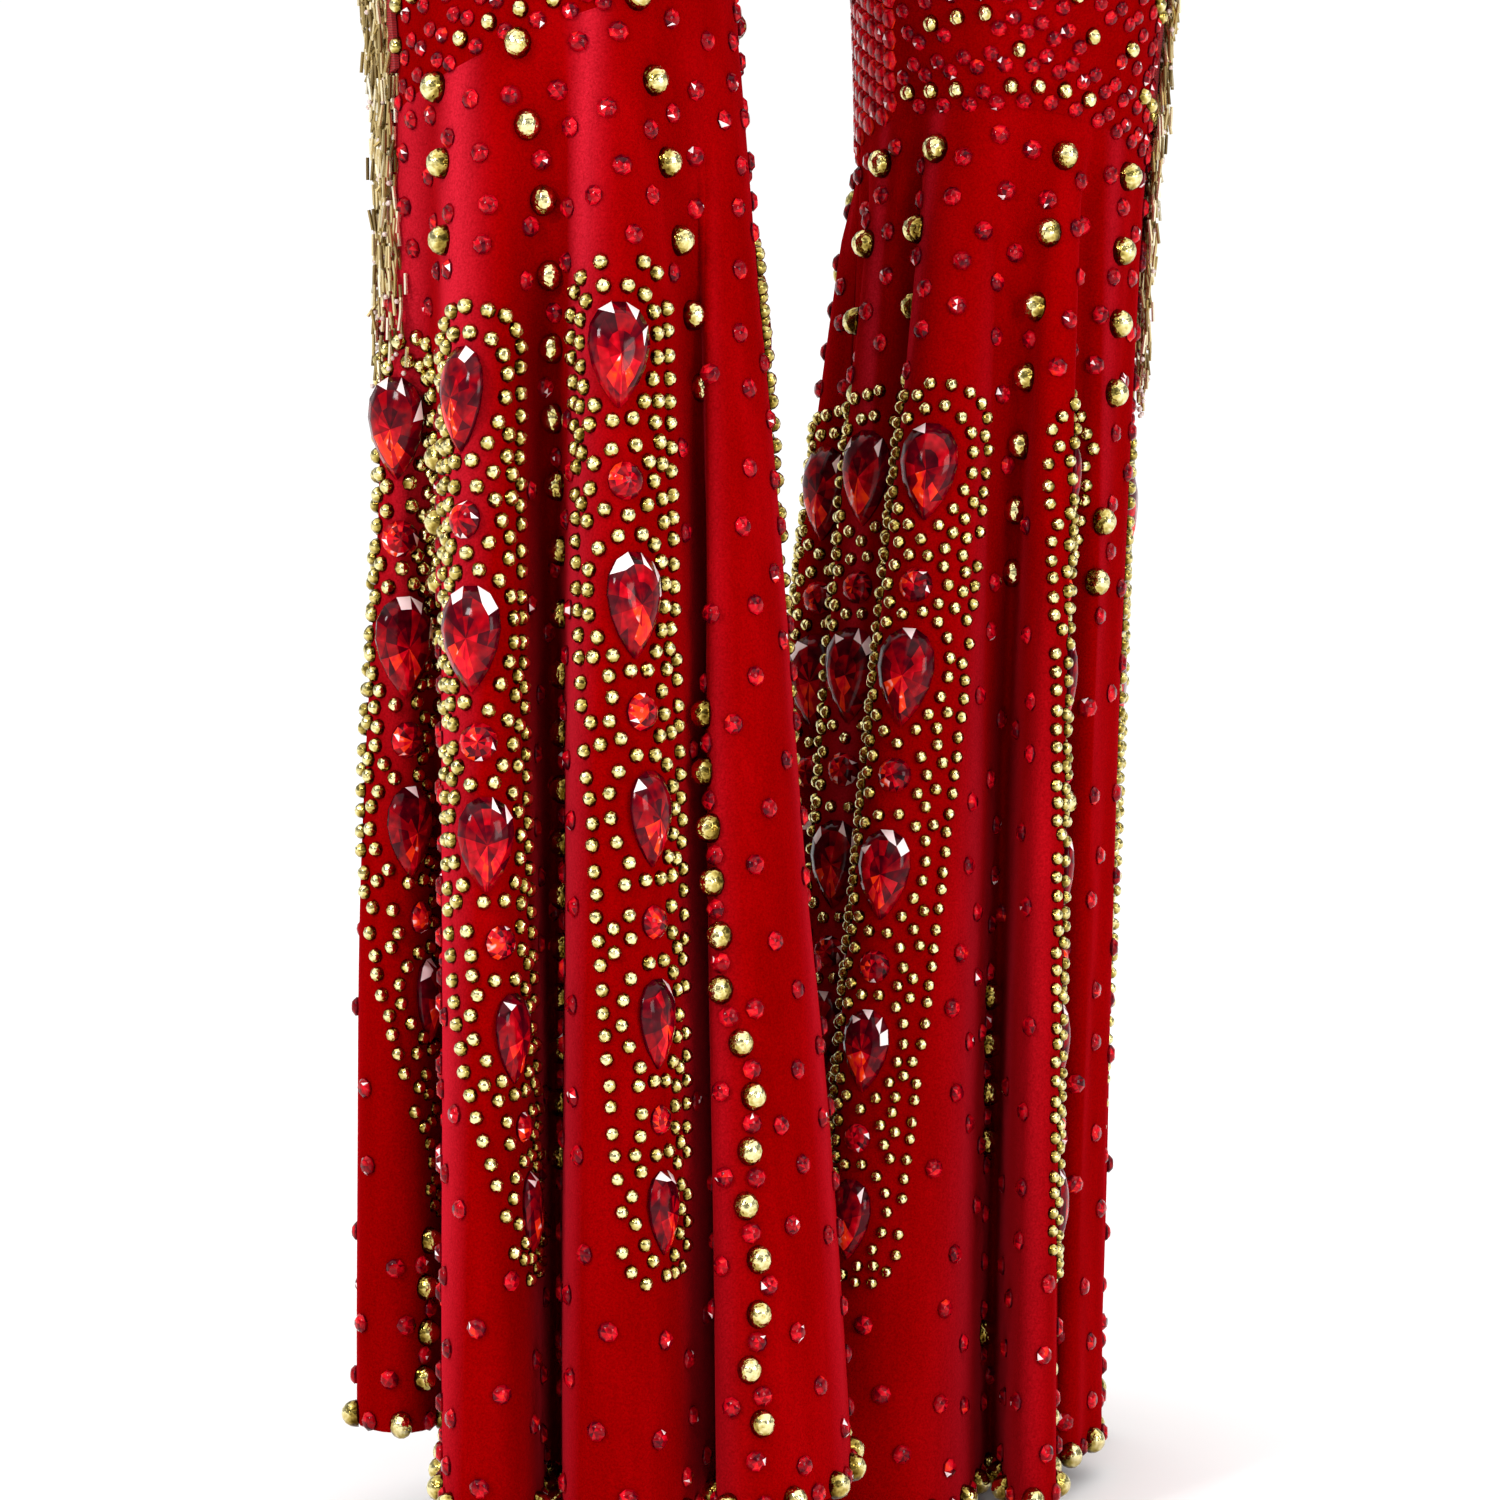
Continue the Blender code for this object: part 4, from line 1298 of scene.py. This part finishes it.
def pile_velvet():
    """Stretch velvet: a short dense pile that is deep red straight on, with shade painted darker
    where folds and drag lines sink in, and pinkish highlights painted in bands; it shows a
    pinkish bloom where it turns away, which is its sheen."""
    material, tree, shader = new_material("stretch velvet with a short pile")
    place = add(tree, "TexCoord", "Object")
    grain = {"Vector": place, "Scale": 1400.0, "Detail": 2.0, "Roughness": 0.7}
    pile = add(tree, "TexNoise", "Fac", grain)
    drawn_out = add(tree, "Mapping", "Vector", {"Vector": place, "Scale": (1.0, 1.0, 0.22)})
    strokes = {"Vector": drawn_out, "Scale": 55.0, "Detail": 3.0, "Roughness": 0.6}
    # A noise of long streaks in the pile's own tone
    nap_and_painted_light = add(tree, "TexNoise", "Fac", strokes)
    reds = ((0.32, "#880000"), (0.52, "#920001"), (0.72, "#9E0104"))
    brushed = add(tree, "ValToRGB", "Color", {"Fac": nap_and_painted_light}, reds)
    greys = ((0.30, "#9A9A9A"), (0.70, "#FFFFFF"))
    speckle = add(tree, "ValToRGB", "Color", {"Fac": pile}, greys)
    darkened = {"data_type": "RGBA", "blend_type": "MULTIPLY"}
    grained = add(tree, "Mix", "Result", {"Factor": 0.55, "A": brushed, "B": speckle}, **darkened)
    # The tint attribute is painted light: above 0 painted shade, below 0 painted highlight
    painted_shading = add(tree, "Attribute", "Fac", attribute_name="tint")
    shade = add(tree, "Math", 0, {0: painted_shading, 1: 0.35}, operation="MULTIPLY", use_clamp=True)
    # Painted shade: the colour is multiplied towards a dark red in troughs and drag lines
    troughs = {"Factor": shade, "A": grained, "B": linear("#5A1818")}
    shade_painted = add(tree, "Mix", "Result", troughs, **darkened)
    # Painted highlight: a pale pink mixed in, broken up by the pile's grain
    grained_highlight = add(tree, "Math", 0, {0: painted_shading, 1: pile}, operation="MULTIPLY")
    highlight_share = add(tree, "Math", 0, {0: grained_highlight, 1: -1.75}, operation="MULTIPLY", use_clamp=True)
    bands = {"Factor": highlight_share, "A": shade_painted, "B": linear("#C81E30")}
    relief = {"Height": pile, "Strength": 0.35, "Distance": 0.0006}
    feed(tree, shader, {
        "Base Color": add(tree, "Mix", "Result", bands, data_type="RGBA"),
        "Normal": add(tree, "Bump", "Normal", relief),
        "Roughness": 0.9,
        "Specular IOR Level": 0.0,
        "Sheen Weight": 0.44,
        "Sheen Roughness": 0.28,
        "Sheen Tint": linear("#FF2A3C"),
    })
    return material


def plated_studs():
    """Half-ball studs, stamped and plated a pale greenish gold, with a painted highlight bright
    on top, a painted reflection of the cloth dark olive at the rim and down their lower side,
    and small dents whose painted specks break up what they mirror."""
    material, tree, shader = new_material("plated studs")
    place = add(tree, "TexCoord", "Object")
    dents = add(tree, "TexNoise", "Fac", {"Vector": place, "Scale": 560.0, "Detail": 1.5})
    # Painted specks of broken reflection, from the dents
    painted_specks = add(tree, "Math", 0, {0: dents, 1: 1.2, 2: -0.60}, operation="MULTIPLY_ADD")
    rim = add(tree, "Attribute", "Fac", attribute_name="tint")
    level = add(tree, "Math", 0, {0: rim, 1: painted_specks}, operation="ADD")
    # Dark olive stops are the painted reflection at the rim, pale ones the painted highlight
    golds = ((0.06, "#4A3408"), (0.36, "#867030"), (0.66, "#BEAA5C"), (0.98, "#EBE0A6"))
    relief = {"Height": dents, "Strength": 0.7, "Distance": 0.0008}
    feed(tree, shader, {
        "Base Color": add(tree, "ValToRGB", "Color", {"Fac": level}, golds),
        "Normal": add(tree, "Bump", "Normal", relief),
        "Metallic": 1.0,
        "Roughness": 0.16,
    })
    return material


def cut_crystal():
    """Foil-backed cut glass: each facet has its own red painted in for what it sends back, from
    near black to a painted orange or white flash, under a hard clear polish."""
    material, tree, shader = new_material("foil backed cut crystal")
    place = add(tree, "TexCoord", "Object")
    depths = add(tree, "TexNoise", "Fac", {"Vector": place, "Scale": 330.0, "Detail": 1.0})
    inner = add(tree, "Math", 0, {0: depths, 1: 0.5, 2: -0.25}, operation="MULTIPLY_ADD")
    facet = add(tree, "Attribute", "Fac", attribute_name="tint")
    level = add(tree, "Math", 0, {0: facet, 1: inner}, operation="ADD")
    # The top stops are painted flashes and glints
    reds = (
        (0.0, "#180004"),
        (0.28, "#4E000E"),
        (0.50, "#96000C"),
        (0.70, "#D80A20"),
        (0.88, "#FF4008"),
        (0.99, "#FFE6E6"),
    )
    feed(tree, shader, {
        "Base Color": add(tree, "ValToRGB", "Color", {"Fac": level}, reds),
        "Roughness": 0.10,
        "Specular IOR Level": 0.12,
    })
    return material


def bugle_glass():
    """Gold-lined bugle beads: short glass tubes, warm gold inside, bright along the edge."""
    material, tree, shader = new_material("gold lined bugle beads")
    bead = add(tree, "Attribute", "Fac", attribute_name="tint")
    golds = ((0.0, "#6A5222"), (0.36, "#AC9254"), (0.74, "#DCC894"), (1.0, "#FFF8E2"))
    feed(tree, shader, {
        "Base Color": add(tree, "ValToRGB", "Color", {"Fac": bead}, golds),
        "Metallic": 0.75,
        "Roughness": 0.25,
        "Coat Weight": 0.6,
    })
    return material


def clear_glass():
    """Tiny clear pink seed beads that end each strand."""
    material, tree, shader = new_material("clear seed beads")
    place = add(tree, "TexCoord", "Object")
    tinge = add(tree, "TexNoise", "Fac", {"Vector": place, "Scale": 90.0})
    pinks = ((0.4, "#C8A89C"), (0.6, "#DCC8C0"))
    feed(tree, shader, {
        "Base Color": add(tree, "ValToRGB", "Color", {"Fac": tinge}, pinks),
        "Roughness": 0.08,
        "Coat Weight": 1.0,
    })
    return material


def ribbon():
    """Woven polyester tape: fine ribs across, 0.8 mm apart, a little shiny."""
    material, tree, shader = new_material("woven tape")
    place = add(tree, "TexCoord", "Object")
    weave = {"Vector": place, "Scale": 400.0, "Distortion": 0.6}
    ribs = add(tree, "TexWave", "Fac", weave, bands_direction="Z")
    reds = ((0.0, "#6E0008"), (1.0, "#A00410"))
    relief = {"Height": ribs, "Strength": 0.4, "Distance": 0.0003}
    feed(tree, shader, {
        "Base Color": add(tree, "ValToRGB", "Color", {"Fac": ribs}, reds),
        "Normal": add(tree, "Bump", "Normal", relief),
        "Roughness": 0.6,
    })
    return material


def matte_floor():
    """Seamless studio paper, matt and nearly white."""
    material, tree, shader = new_material("studio paper")
    place = add(tree, "TexCoord", "Object")
    mottle = add(tree, "TexNoise", "Fac", {"Vector": place, "Scale": 3.0})
    whites = ((0.3, "#F6F6F6"), (0.7, "#FAFAFA"))
    feed(tree, shader, {
        "Base Color": add(tree, "ValToRGB", "Color", {"Fac": mottle}, whites),
        "Roughness": 1.0,
        "Specular IOR Level": 0.0,
    })
    return material


# The garment


def build_velvet(velvet):
    """The four upper panels, the four flare panels and the three bindings."""
    panels = {}
    pieces = {}
    for leg in (RIGHT, LEFT):
        for front in (True, False):
            face = "front" if front else "back"
            panel = upper_panel(leg, front)
            panels[face, leg.name] = panel
            outer, inner, grid = panel[:3]
            # Painted shade in the drag lines' troughs, and a fainter painted highlight on their crests
            nap_and_painted_light = np.clip(-wrinkles(grid) / CREASE_SHADE_DEPTH, -0.22, 0.85)
            name = f"{face}_{leg.name}"
            pieces[name] = shell("velvet_" + name, velvet, outer, inner, nap_and_painted_light)
            pieces["flare_" + name] = shell("velvet_flare_" + name, velvet, *flare_panel(leg, front))
        arm = edge_loop(arm_run(panels["front", leg.name]), arm_run(panels["back", leg.name])[::-1])
        name = "armhole_binding_" + leg.name
        pieces[name] = rounded_strip("velvet_" + name, velvet, *arm)
    neck = edge_loop(
        neck_run(panels["front", "r"], RIGHT),
        neck_run(panels["back", "r"], RIGHT)[::-1],
        neck_run(panels["back", "l"], LEFT),
        neck_run(panels["front", "l"], LEFT)[::-1],
    )
    pieces["neck_binding"] = rounded_strip("velvet_neck_binding", velvet, *neck)
    for node, piece in pieces.items():
        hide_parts(node)
    return pieces


def walls_of(pieces):
    """A search tree over the flares' cloth, in the garment's own place."""
    points = []
    faces = []
    for name, piece in pieces.items():
        if not name.startswith("flare"):
            continue
        mesh = piece.data
        coordinates = np.empty(len(mesh.vertices) * 3, np.float32)
        mesh.vertices.foreach_get("co", coordinates)
        corners = np.empty(len(mesh.loops), np.int32)
        mesh.loops.foreach_get("vertex_index", corners)
        faces.append(corners.reshape(-1, 4) + sum(len(block) for block in points))
        points.append(coordinates.reshape(-1, 3))
    return BVHTree.FromPolygons(np.concatenate(points).tolist(), np.concatenate(faces).tolist())


def drop_stones(leg, pear):
    """The pears, or the round stones, of every plume."""
    chosen = [drop for drop in leg.drops if drop.pear == pear]
    down = read(chosen, "down")
    lines = [plume_line(leg, plume, down) for plume in leg.plumes]
    return joined([set_on(cloth, leg, line, down, read(chosen, "size")) for line in lines])


def stud_plumes(leg, chart, rng):
    """The small studs of every plume, without those that meet a plume before it."""
    small = None
    for plume in leg.plumes:
        out, down = plume_studs(leg, rng)
        line = plume_line(leg, plume, down)
        around = [chart.beside(*place) for place in zip(line, down, out)]
        field = set_on(cloth, leg, around, down, leg.stud * (1.06 - 0.22 * down))
        if small:
            field = joined([small, apart(field, small.points, STUD_ROOM_FOOT * leg.stud / STUD)])
        small = field
    return small


def stud_lines(leg, rng):
    """Lines of large studs, closer together downwards, with a crystal between two lower down."""
    big = []
    between = []
    for line in leg.lines:
        places = [line.start]
        while places[-1] < LINE_FOOT:
            step = LINE_STEP - LINE_CLOSING * min(1.0, places[-1] * 1.8)
            places.append(places[-1] + step / FLARE_LENGTH)
        places = np.array(places)
        half_way = (places[1:] + places[:-1]) / 2
        places = places[:-1]
        half_way = half_way[(half_way > BETWEEN_TOP) & (half_way < BETWEEN_FOOT)]
        for kind, down, size in (
            (big, places, BIG_STUD * (1.04 - 0.12 * places)),
            (between, half_way, CRYSTAL),
        ):
            around = np.interp(down, LINE_PLACES, line[1:]) + rng.normal(scale=0.01, size=len(down))
            kind.append(set_on(cloth, leg, around, down, size))
    return joined(big), joined(between)


def lay_out(leg, walls, rng):
    """Every stone of one leg, by kind."""
    chart = Chart(leg)
    pears = drop_stones(leg, True)
    rounds = drop_stones(leg, False)
    stones = np.concatenate([pears.points, rounds.points])
    small = apart(stud_plumes(leg, chart, rng), stones, STONE_ROOM)
    big, between = stud_lines(leg, rng)
    big = apart(big, small.points, BIG_ROOM)
    between = apart(apart(between, small.points, BETWEEN_ROOM), big.points, PAIR_ROOM)
    hem_studs, hem_crystals = hem_trim(leg, chart)
    groups = (small, big, between, hem_studs, hem_crystals)
    busy = np.concatenate([group.points for group in groups])
    scattered = scatter(leg, busy, stones, walls, rng)
    bands, band_studs, net = knee_bands(leg, rng)
    between = uncrowded(between, walls, CRYSTAL_OPEN)
    return {
        "studs": uncrowded(small, walls, STUD_OPEN),
        "big_studs": joined([uncrowded(big, walls, STONE_OPEN), hem_studs, band_studs]),
        "crystals": joined([scattered, between, hem_crystals, bands]),
        "net": net,
        "pears": uncrowded(pears, walls, STONE_OPEN),
        "rounds": uncrowded(rounds, walls, STONE_OPEN),
    }


def hem_trim(leg, chart):
    """Studs and crystals by turns along the hem."""
    total = chart.hem_length()
    number = int(total / HEM_PITCH) // 2 * 2
    offsets = np.arange(number) * total / number
    around = np.array([chart.beside(0.0, 1.0, offset) for offset in offsets])
    down = np.full(number // 2, HEM_TRIM)
    studs = set_on(cloth, leg, around[::2], down, BIG_STUD * 0.93)
    return studs, set_on(cloth, leg, around[1::2], down, CRYSTAL)


def scatter(leg, busy, stones, walls, rng):
    """Single crystals all over a flare, further apart downwards, clear of what is there."""
    taken = np.concatenate([busy, stones])
    clear = np.repeat([STUD_CLEAR, DROP_CLEAR], [len(busy), len(stones)])
    around = rng.uniform(0, FOLDS, SCATTER_TRIES)
    down = rng.uniform(SCATTER_FROM, SCATTER_TO, SCATTER_TRIES)
    setting = set_on(cloth, leg, around, down, CRYSTAL)
    room = SCATTER_TOP + (SCATTER_FOOT - SCATTER_TOP) * np.clip(down / 0.5, 0, 1)
    room = room * rng.uniform(0.92, 1.12, SCATTER_TRIES)
    chosen = []
    for place, point in enumerate(setting.points):
        away = np.linalg.norm(taken - point, axis=1)
        if (away < np.where(clear > 0, clear, room[place])).any():
            continue
        chosen.append(place)
        taken = np.concatenate([taken, point[None]])
        clear = np.append(clear, 0.0)
    return uncrowded(kept(setting, chosen), walls, CRYSTAL_OPEN)


def knee_bands(leg, rng):
    """Rows of crystals and studs round the leg just above the knee seam, sparser upwards, then
    single crystals, and the close net of crystals on the inside of the leg."""
    crystals = []
    studs = []
    number = int(2 * math.pi * BAND_ROUND / BAND_PITCH)
    place = np.arange(number)
    for row, above in enumerate(BAND_HEIGHTS):
        turn = (place + 0.5 * (row % 2)) * 2 * math.pi / number
        height = above + 0.0012 * np.sin(5 * turn + row) + 0.0019 * (-1) ** place
        outside = np.abs((turn * 180 / math.pi + 90 + 180) % 360 - 180) >= NET_HALF_TURN
        golden = (place % 2 == 0) & ((place + 7 * row) % 19 < 8)
        drop = thigh_drop(leg, turn, height + 0.001 * golden)
        keep = outside & (rng.uniform(0, 1, number) < 1.03 - 0.07 * row)
        for kind, which, size in (
            (crystals, keep & ~golden, CRYSTAL * 0.85),
            (studs, keep & golden, BAND_STUD),
        ):
            kind.append(set_on(leg_surface, leg, turn[which], drop[which], size))
    turn = rng.uniform(0, 2 * math.pi, LOOSE_TRIES)
    above = LOOSE_FOOT + LOOSE_REACH * rng.uniform(0, 1, LOOSE_TRIES) ** 1.7
    loose = set_on(leg_surface, leg, turn, thigh_drop(leg, turn, above), CRYSTAL)
    chosen = [0]
    for place, point in enumerate(loose.points):
        away = np.linalg.norm(loose.points[chosen] - point, axis=1)
        if away.min() > LOOSE_ROOM + LOOSE_OPENING * (above[place] - 0.08) / LOOSE_REACH:
            chosen.append(place)
    crystals.append(kept(loose, chosen))
    column, row = (values.ravel() for values in np.meshgrid(np.arange(-7, 8), np.arange(15)))
    turn = math.radians(-90) + column * NET_ACROSS / NET_ROUND
    above = NET_FOOT + (row + 0.5 * (column % 2)) * NET_UP
    net = set_on(leg_surface, leg, turn, thigh_drop(leg, turn, above), CRYSTAL)
    return joined(crystals), joined(studs), net


def build_stones(pieces, gold, crystal):
    """All studs, crystals and drop stones as joined meshes, one of a kind for each leg."""
    rng = np.random.default_rng(SEED)
    walls = walls_of(pieces)
    levels = np.array([(0.98, -0.0006), (1.0, 0.0008), (0.76, 0.0032), (0.42, 0.0046)])
    shapes = {
        "studs": (half_ball(8, 3), (0.97, 1.06, 1.1)),
        "big_studs": (half_ball(14, 4), (0.94, 1.10, 1.15)),
        "crystals": (outlined(circle(8), [(0.94, -0.05), (1.0, 0.22), (0.56, 0.62)]), 1),
        "net": (outlined(circle(6), [(0.98, -0.05), (1.0, 0.25), (0.62, 0.55)]), (0.95, 1.15, 1)),
        "pears": (outlined(pear_outline(16), levels), 1),
        "rounds": (outlined(ROUND_STONE * circle(14), levels * [1, 0.75]), 1),
    }
    for leg in (RIGHT, LEFT):
        stones = lay_out(leg, walls, rng)
        for kind, (shape, stretch) in shapes.items():
            points, axes, sizes = stones[kind]
            if kind == "crystals":
                axes = spun(axes, rng.uniform(0, 2 * math.pi, len(axes)))
            cut = not kind.endswith("studs")
            if cut:
                tints = facet_tints(kind, shape[2], len(points), rng)
            else:
                # Painted light on the studs: a highlight brightest on top, shade painted darker at the
                # rim and down the lower side
                tints = np.clip(shape[0][:, 2], 0, 1) - 0.16 * shape[0][:, 1]
                tints = tints + rng.uniform(-0.05, 0.05, (len(points), 1))
            sizes = sizes[:, None] * np.broadcast_to(stretch, 3)
            name = f"{kind}_{leg.name}"
            material = crystal if cut else gold
            piece = copies(name, material, shape, points, axes, sizes, tints, flat=cut)


def facet_tints(kind, steps, count, rng):
    """A number for each facet of each stone, from near black to white, painted light that stands
    for what the facets send back.

    The girdle is dark, and light in the net. The crown has painted shade from dark on its upper
    side to red on its lower side, with a painted white glint on a facet now and then; the table
    is split into wedges, and on a drop the wedges towards the point get a painted orange flash.
    Each facet has one number.
    """
    segments = steps[:, 1].max() + 1
    rings = steps[:, 0] + 1
    around = np.cos((steps[:, 1] + 0.5) * 2 * math.pi / segments)
    lower = -around if kind == "pears" else around
    halves = np.arange(len(rings)) % (2 * segments) >= segments
    facet = rings * 2 * segments + steps[:, 1] * 2 + (halves & (rings == 2))
    draw, flash = (rng.uniform(0, 1, (count, facet.max() + 1))[:, facet] for _ in range(2))
    # Painted light: one side darker than the other, orange flashes, and white glints at 1.2
    if kind == "pears":
        belts = [0.12 + 0.16 * draw, 0.16 + 0.32 * draw]
        tint = np.select([rings <= 1, rings == 2], belts, 0.22 + 0.40 * draw)
        tint = tint + 0.10 * lower * (rings >= 2)
        tint = np.where((rings >= 3) & (lower > 0.5) & (flash < 0.45), 0.74 + 0.12 * draw, tint)
        tint = np.where((rings == 2) & (lower < -0.4) & (flash > 0.76), 1.2, tint)
    elif kind == "rounds":
        tint = np.where(rings <= 1, 0.12 + 0.2 * draw, 0.18 + 0.50 * draw + 0.12 * lower)
        tint = np.where((rings >= 2) & (lower > 0.3) & (flash < 0.25), 0.84, tint)
        tint = np.where((rings == 2) & (flash > 0.94), 1.2, tint)
    elif kind == "net":
        tint = np.where(rings <= 1, 0.72 + 0.06 * draw, 0.40 + 0.30 * draw)
        tint = np.where((rings >= 2) & (flash > 0.97), 1.2, tint)
    else:
        tint = np.where(rings <= 1, 0.20 + 0.26 * draw, 0.30 + 0.30 * draw + 0.08 * lower)
        tint = np.where((rings >= 2) & (lower > 0.2) & (flash < 0.20), 0.68, tint)
        tint = np.where((rings >= 2) & (flash > 0.985), 1.2, tint)
    return np.clip(tint, 0, 1.2)


def strand_foot(leg, turn, height):
    """Where a strand ends: just clear of the thigh's cloth or, below the seam, the flare's."""
    seam = knee_seam(leg, turn)
    if height > seam:
        place = (leg_surface, leg, np.array([turn]), (CROTCH - height) / (CROTCH - seam))
    else:
        knees = np.radians(read(leg.folds, "knee"))
        around = np.array([np.interp(turn, knees, np.arange(len(knees))) / 2])
        place = (cloth, leg, around, np.array([(seam - height) / (seam - leg.hem_height)]))
    point, axes = frames(*place)
    return point[0] + axes[0, :, 2] * FOOT_CLEAR


def build_fringe(leg, tape_material, bead_material, end_material):
    """The tape down the outside leg, and its strands of bugle beads on thread."""
    rng = np.random.default_rng(SEED + 1)
    turn = math.radians(leg.tape_turn)
    seam = knee_seam(leg, turn)
    heights = np.linspace(TAPE_TOP, seam + leg.tape_end, TAPE_ROWS + 1)
    drop = (CROTCH - heights) / (CROTCH - seam)
    half_turn = TAPE_WIDTH / 2 / smooth(LEG, "half_width", heights)
    share = np.linspace(-1, 1, 7)
    turns = turn + half_turn[:, None] * share
    drops = np.repeat(drop[:, None], len(share), axis=1)
    middle = leg_surface(leg, turns, drops)
    out = unit(middle - leg_surface(leg, turns + math.pi, drops))
    start = WALL / 2 + TAPE_STAND
    crown = (TAPE_THICK * (0.75 + 0.25 * (1 - share**2)))[:, None]
    tape = shell("tape_" + leg.name, tape_material, middle + out * (start + crown), middle + out * start)
    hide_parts("fringe_" + leg.name)
    places = []
    axes = []
    ends = []
    for row, column in np.ndindex(STRAND_ROWS, STRAND_COLUMNS):
        at = 1 + round(row * (TAPE_ROWS - 2) / (STRAND_ROWS - 1))
        low = row / (STRAND_ROWS - 1)
        place = (column + 0.5 + 0.25 * (-1) ** row) / STRAND_COLUMNS * 2 - 1
        strand_turn = turn + half_turn[at] * place * 0.92
        surface = leg_surface(leg, strand_turn, drop[at])
        away = unit(surface - leg_surface(leg, strand_turn + math.pi, drop[at])) * LEVEL
        top = surface + away * (start + TAPE_THICK)
        length = STRAND_LENGTH * rng.uniform(0.90, 1.0)
        spread = leg.strand_lead * (0.6 + low) + STRAND_SPREAD * place * (1 - 0.7 * low)
        foot = strand_foot(leg, strand_turn + spread, top[2] - length)
        lean = rng.uniform(leg.strand_lean, 1.0)
        swing = (lean * (foot - top) + STRAND_STRAY * rng.normal(size=3)) * LEVEL
        number = int(length / (BEAD_LENGTH + BEAD_GAP))
        share_down = (np.arange(number) + 0.5) / number
        sway = BEAD_SWAY * np.pad(rng.normal(size=(2, number)).T, ((0, 0), (0, 1)))
        places.append(top + share_down[:, None] * (swing - [0, 0, length]) + sway)
        tilt = BEAD_TILT * rng.normal(size=(number, 3)) * LEVEL - [0, 0, 1]
        loose = rng.uniform(0, 1, number) > STEADY_BEADS
        tilt[loose] += (away * 0.5 + 0.25 * rng.normal(size=3)) * LEVEL
        tilt = unit(tilt)
        side = unit(np.cross(tilt, [0.3, 1.0, 0.1]))
        axes.append(np.stack([side, np.cross(tilt, side), tilt], axis=-1))
        ends.append(top + swing - [0, 0, length + TIP_DROP])
    places = np.concatenate(places)
    size = np.tile([BEAD_RADIUS, BEAD_RADIUS, BEAD_LENGTH], (len(places), 1))
    size[:, 2] *= rng.uniform(0.9, 1.0, len(places))
    bead = outlined(circle(BEAD_SIDES), [(1.0, -0.5), (1.0, 0.5)])
    tints = np.repeat(rng.uniform(0, 1, (len(places), 1)), len(bead[1]), axis=1)
    name = "bugle_beads_" + leg.name
    strands = copies(name, bead_material, bead, places, np.concatenate(axes), size, tints)
    strands.data.set_sharp_from_angle(angle=math.radians(40))
    seed = outlined(circle(6), [(0.55, -0.8), (1.0, 0.0), (0.55, 0.8)])
    level = np.broadcast_to(np.eye(3), (len(ends), 3, 3))
    name = "seed_beads_" + leg.name
    tips = copies(name, end_material, seed, np.array(ends), level, TIP_RADIUS)


# Studio


def aimed(thing, place):
    """Sets a lamp or the camera at a place, turned to what is looked at."""
    thing.location = place
    thing.rotation_euler = (AIM - thing.location).to_track_quat("-Z", "Y").to_euler()


def build_studio():
    """A pale floor, a near-white room and two soft lights, and the camera."""
    mesh = bpy.data.meshes.new("floor")
    corners = np.array([(-1, -1), (1, -1), (1, 1), (-1, 1)]) * FLOOR_REACH
    mesh.from_pydata([(x, y, FLOOR) for x, y in corners], [], [(0, 1, 2, 3)])
    mesh.materials.append(matte_floor())
    shown("floor", mesh)
    world = bpy.data.worlds.new("white room")
    world.use_nodes = True
    tree = world.node_tree
    view = add(tree, "TexCoord", "Generated")
    height = add(tree, "SeparateXYZ", "Z", {"Vector": view})
    greys = ((0.12, 0.62), (0.26, 0.16), (0.52, 0.16), (0.68, 1.0))
    walls = add(tree, "ValToRGB", "Color", {"Fac": height}, greys)
    feed(tree, tree.nodes["Background"], {"Color": walls, "Strength": 1.7})
    bpy.context.scene.world = world
    for name, place, size, watts in (
        ("key", (-1.3, -1.5, 1.2), 0.4, 22),
        ("fill", (1.3, -1.6, 0.6), 0.8, 17),
    ):
        light = bpy.data.lights.new(name, "AREA")
        light.size = size
        light.energy = watts
        aimed(shown(name, light), Vector(place) + AIM)
    lens = bpy.data.cameras.new("camera")
    lens.lens = LENS
    lens.sensor_width = SENSOR
    camera = shown("camera", lens)
    aimed(camera, AIM + DISTANCE * Vector((0, -math.cos(ELEVATION), math.sin(ELEVATION))))
    bpy.context.scene.camera = camera
    bpy.context.scene.view_settings.view_transform = "Standard"


pieces = build_velvet(pile_velvet())
build_stones(pieces, plated_studs(), cut_crystal())
trims = (ribbon(), bugle_glass(), clear_glass())
for leg in (RIGHT, LEFT):
    build_fringe(leg, *trims)
build_studio()
